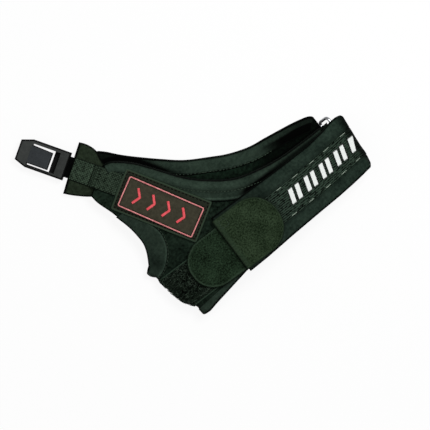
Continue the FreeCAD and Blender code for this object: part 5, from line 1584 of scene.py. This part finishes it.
# painted shadow of the cover's edge on the tab beside it
cover_shadow = np.exp(-((np.maximum(-14.7 - plan[..., 0], 0) / 1.8) ** 2)) * (plan[..., 0] < -14.2)
selvedge = 0.6 * np.exp(-((edge_gap - 1.0) / 0.4) ** 2)
tab = closed_sheet("pull_tab", middle, 0.6 * plan_rounding(plan, 0.6), plan, relief=relief, edge=-0.7,
                   tone=-0.6 * cover_shadow, marks={"selvedge": selvedge})
fit(tab, None, "hook_fabric", tab_cloth, "hook_tab")
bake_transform(tab)


def hooks_group():
    """Moulded hooks: rows of tiny domes, h = |sin(pi u)| |sin(pi v)|, on a flat ground."""
    tree, given, result = new_group(
        "hook rows",
        [("Vector", "Vector", None), ("Shade", "Color", None), ("Light", "Color", None),
         ("Rows", "Float", 1.2)],
        [("Color", "Color"), ("Roughness", "Float"), ("Height", "Float")])
    x, y, z = split(tree, given.outputs["Vector"])
    u = maths(tree, "MULTIPLY", maths(tree, "MULTIPLY", x, given.outputs["Rows"]), math.pi)
    v = maths(tree, "MULTIPLY", maths(tree, "MULTIPLY", y, given.outputs["Rows"]), math.pi)
    dome = maths(tree, "MULTIPLY", maths(tree, "ABSOLUTE", maths(tree, "SINE", u)),
                 maths(tree, "ABSOLUTE", maths(tree, "SINE", v)))
    lint = ramp(tree, noise(tree, given.outputs["Vector"], 0.9, 3.0, 0.6), 0.6, 0.72)
    tone = maths(tree, "ADD", dome, maths(tree, "MULTIPLY", lint, 0.3))
    tree.links.new(mix_colour(tree, tone, given.outputs["Shade"], given.outputs["Light"]),
                   result.inputs["Color"])
    tree.links.new(ramp(tree, dome, 0.0, 1.0, 0.7, 0.45), result.inputs["Roughness"])
    tree.links.new(dome, result.inputs["Height"])
    return tree


hooks = material("hook rows", hooks_group(),
                 {"Shade": paint(10, 13, 11), "Light": paint(40, 46, 40), "Rows": 1.0},
                 bump=0.8, depth=0.5)
plan = rounded_plan(-15.0, -44.7, -41.0, -71.6, -29.0, 1.0)
run = STRAP_ARC * (np.arcsin((plan[..., 0] - ARCH_X) / STRAP_ARC) - START_TURN)
middle = on_strap(run, plan[..., 1], 0.45)
field = closed_sheet("hook_rows", middle, 0.38 * plan_rounding(plan, 0.4), plan)
fit(field, None, "hook_fabric", hooks, "hook_field")
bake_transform(field)

# ==== Seams ==================================================================================
# Rows of small dark stitches hold each layer: round the patch in its groove, along the seams
# of both bindings, round the thumb facing and along the loop strip's selvedges.
def hand_row(name, line, offset, pitch, long, radius, lift=0.0, seed=1):
    """A row of stitches on the hand shell along a plan line, at an offset from its inside."""
    line = even(line, np.linspace(0, 1, 400))
    low = on_hand(line[:, 0], line[:, 1], offset)
    high = on_hand(line[:, 0], line[:, 1], offset + 1.0)
    return stitches(name, low, high - low, pitch, long, radius, lift, seed)


groove_line = round_box(PATCH_LONG - 3.8, PATCH_WIDE - 3.8, 1.0, 500)
groove_s, groove_t = groove_line.T
low = on_patch(groove_s, groove_t, patch_height(groove_s, groove_t) - 0.33)
high = on_patch(groove_s, groove_t, patch_height(groove_s, groove_t) + 0.67)
patch_row = stitches("badge_stitches", low, high - low, 2.5, 1.5, 0.36, 0.14, 31)
fit(patch_row, "guard", "thread", black_thread)
edge = even(hand_top_edge[4:-14], np.linspace(0, 1, 300))
seams = [hand_row("back_row", beside(edge, 7.3), 3.75, 2.2, 1.5, 0.28, 0.0, 32)]
seams.append(hand_row("thumb_row", thumb_seam[8:-14], 3.85, 2.2, 1.5, 0.22, 0.0, 33))
for name, ends, seed in [("loop_row_top", [(-62.0, -45.6), (38.0, -45.6)], 34),
                         ("loop_row_low", [(-60.0, -71.4), (38.0, -70.4)], 35)]:
    seams.append(hand_row(name, np.array(ends), 4.05, 2.4, 1.6, 0.24, 0.0, seed))
edge = even(palm_top_edge[40:-64], np.linspace(0, 1, 300))
inner = beside(edge, 8.9)
low = np.column_stack([inner, np.full(len(inner), 3.6)])
seams.append(stitches("palm_row", low, np.tile([0, 0, 1.0], (len(inner), 1)), 2.3, 1.6, 0.28, 0.0, 36, 0.4))
seam_set = joined("dark_seams", seams)
fit(seam_set, "guard", "thread", dark_thread)

# ==== Camera, floor and light ================================================================
# A plain white floor under two soft lamps and an even white sky. The camera looks straight
# down from far off, turned 37 degrees.
floor_mesh = bpy.data.meshes.new("floor")
floor_mesh.from_pydata([(-3, -3, -0.0002), (3, -3, -0.0002), (3, 3, -0.0002), (-3, 3, -0.0002)],
                       [], [(0, 1, 2, 3)])
floor = bpy.data.objects.new("floor", floor_mesh)
bpy.context.scene.collection.objects.link(floor)
floor_finish = bpy.data.materials.new("white floor")
floor_finish.use_nodes = True
tree = floor_finish.node_tree
tree.nodes.clear()
diffuse = tree.nodes.new("ShaderNodeBsdfDiffuse")
diffuse.inputs["Color"].default_value = (0.9, 0.9, 0.9, 1)
glow = tree.nodes.new("ShaderNodeEmission")
rays = tree.nodes.new("ShaderNodeLightPath")
seen = maths(tree, "MAXIMUM", rays.outputs["Is Camera Ray"],
             maths(tree, "MAXIMUM", rays.outputs["Is Glossy Ray"], rays.outputs["Is Transmission Ray"]))
blend_shaders = tree.nodes.new("ShaderNodeMixShader")
tree.links.new(maths(tree, "MULTIPLY", seen, 0.9), blend_shaders.inputs["Fac"])
tree.links.new(diffuse.outputs[0], blend_shaders.inputs[1])
tree.links.new(glow.outputs[0], blend_shaders.inputs[2])
surface = tree.nodes.new("ShaderNodeOutputMaterial")
tree.links.new(blend_shaders.outputs[0], surface.inputs["Surface"])
floor_mesh.materials.append(floor_finish)

world = bpy.data.worlds.new("studio")
bpy.context.scene.world = world
world.use_nodes = True
tree = world.node_tree
sky = tree.nodes["Background"]
sky.inputs["Color"].default_value = (1, 1, 1, 1)
rays = tree.nodes.new("ShaderNodeLightPath")
tree.links.new(ramp(tree, rays.outputs["Is Camera Ray"], 0.0, 1.0, 0.25, 1.0), sky.inputs["Strength"])


def lamp(name, place, size, power):
    """A square lamp aimed at the middle of the object."""
    data = bpy.data.lights.new(name, "AREA")
    data.shape = "SQUARE"
    data.size = size
    data.energy = power
    made = bpy.data.objects.new(name, data)
    made.location = place
    made.rotation_euler = (-Vector(place)).to_track_quat("-Z", "Y").to_euler()
    bpy.context.scene.collection.objects.link(made)


lamp("key", (0.4, 0.05, 0.82), 0.35, 6.2)
lamp("fill", (-0.5, 0.1, 0.7), 0.6, 1.4)

camera = bpy.data.objects.new("camera", bpy.data.cameras.new("camera"))
bpy.context.scene.collection.objects.link(camera)
bpy.context.scene.camera = camera
VIEW_WIDE, VIEW_FAR = 276.2, 1500.0
camera.data.sensor_width = 36.0
camera.data.lens = 36.0 * VIEW_FAR / VIEW_WIDE
camera.location = ((-11.1 + LAYOUT[0]) * MM, (-33.2 + LAYOUT[1]) * MM, (VIEW_FAR + 15) * MM)
camera.rotation_euler = (0, 0, math.radians(-37))
camera.data.clip_start, camera.data.clip_end = 0.1, 10.0
bpy.context.scene.view_settings.view_transform = "Standard"
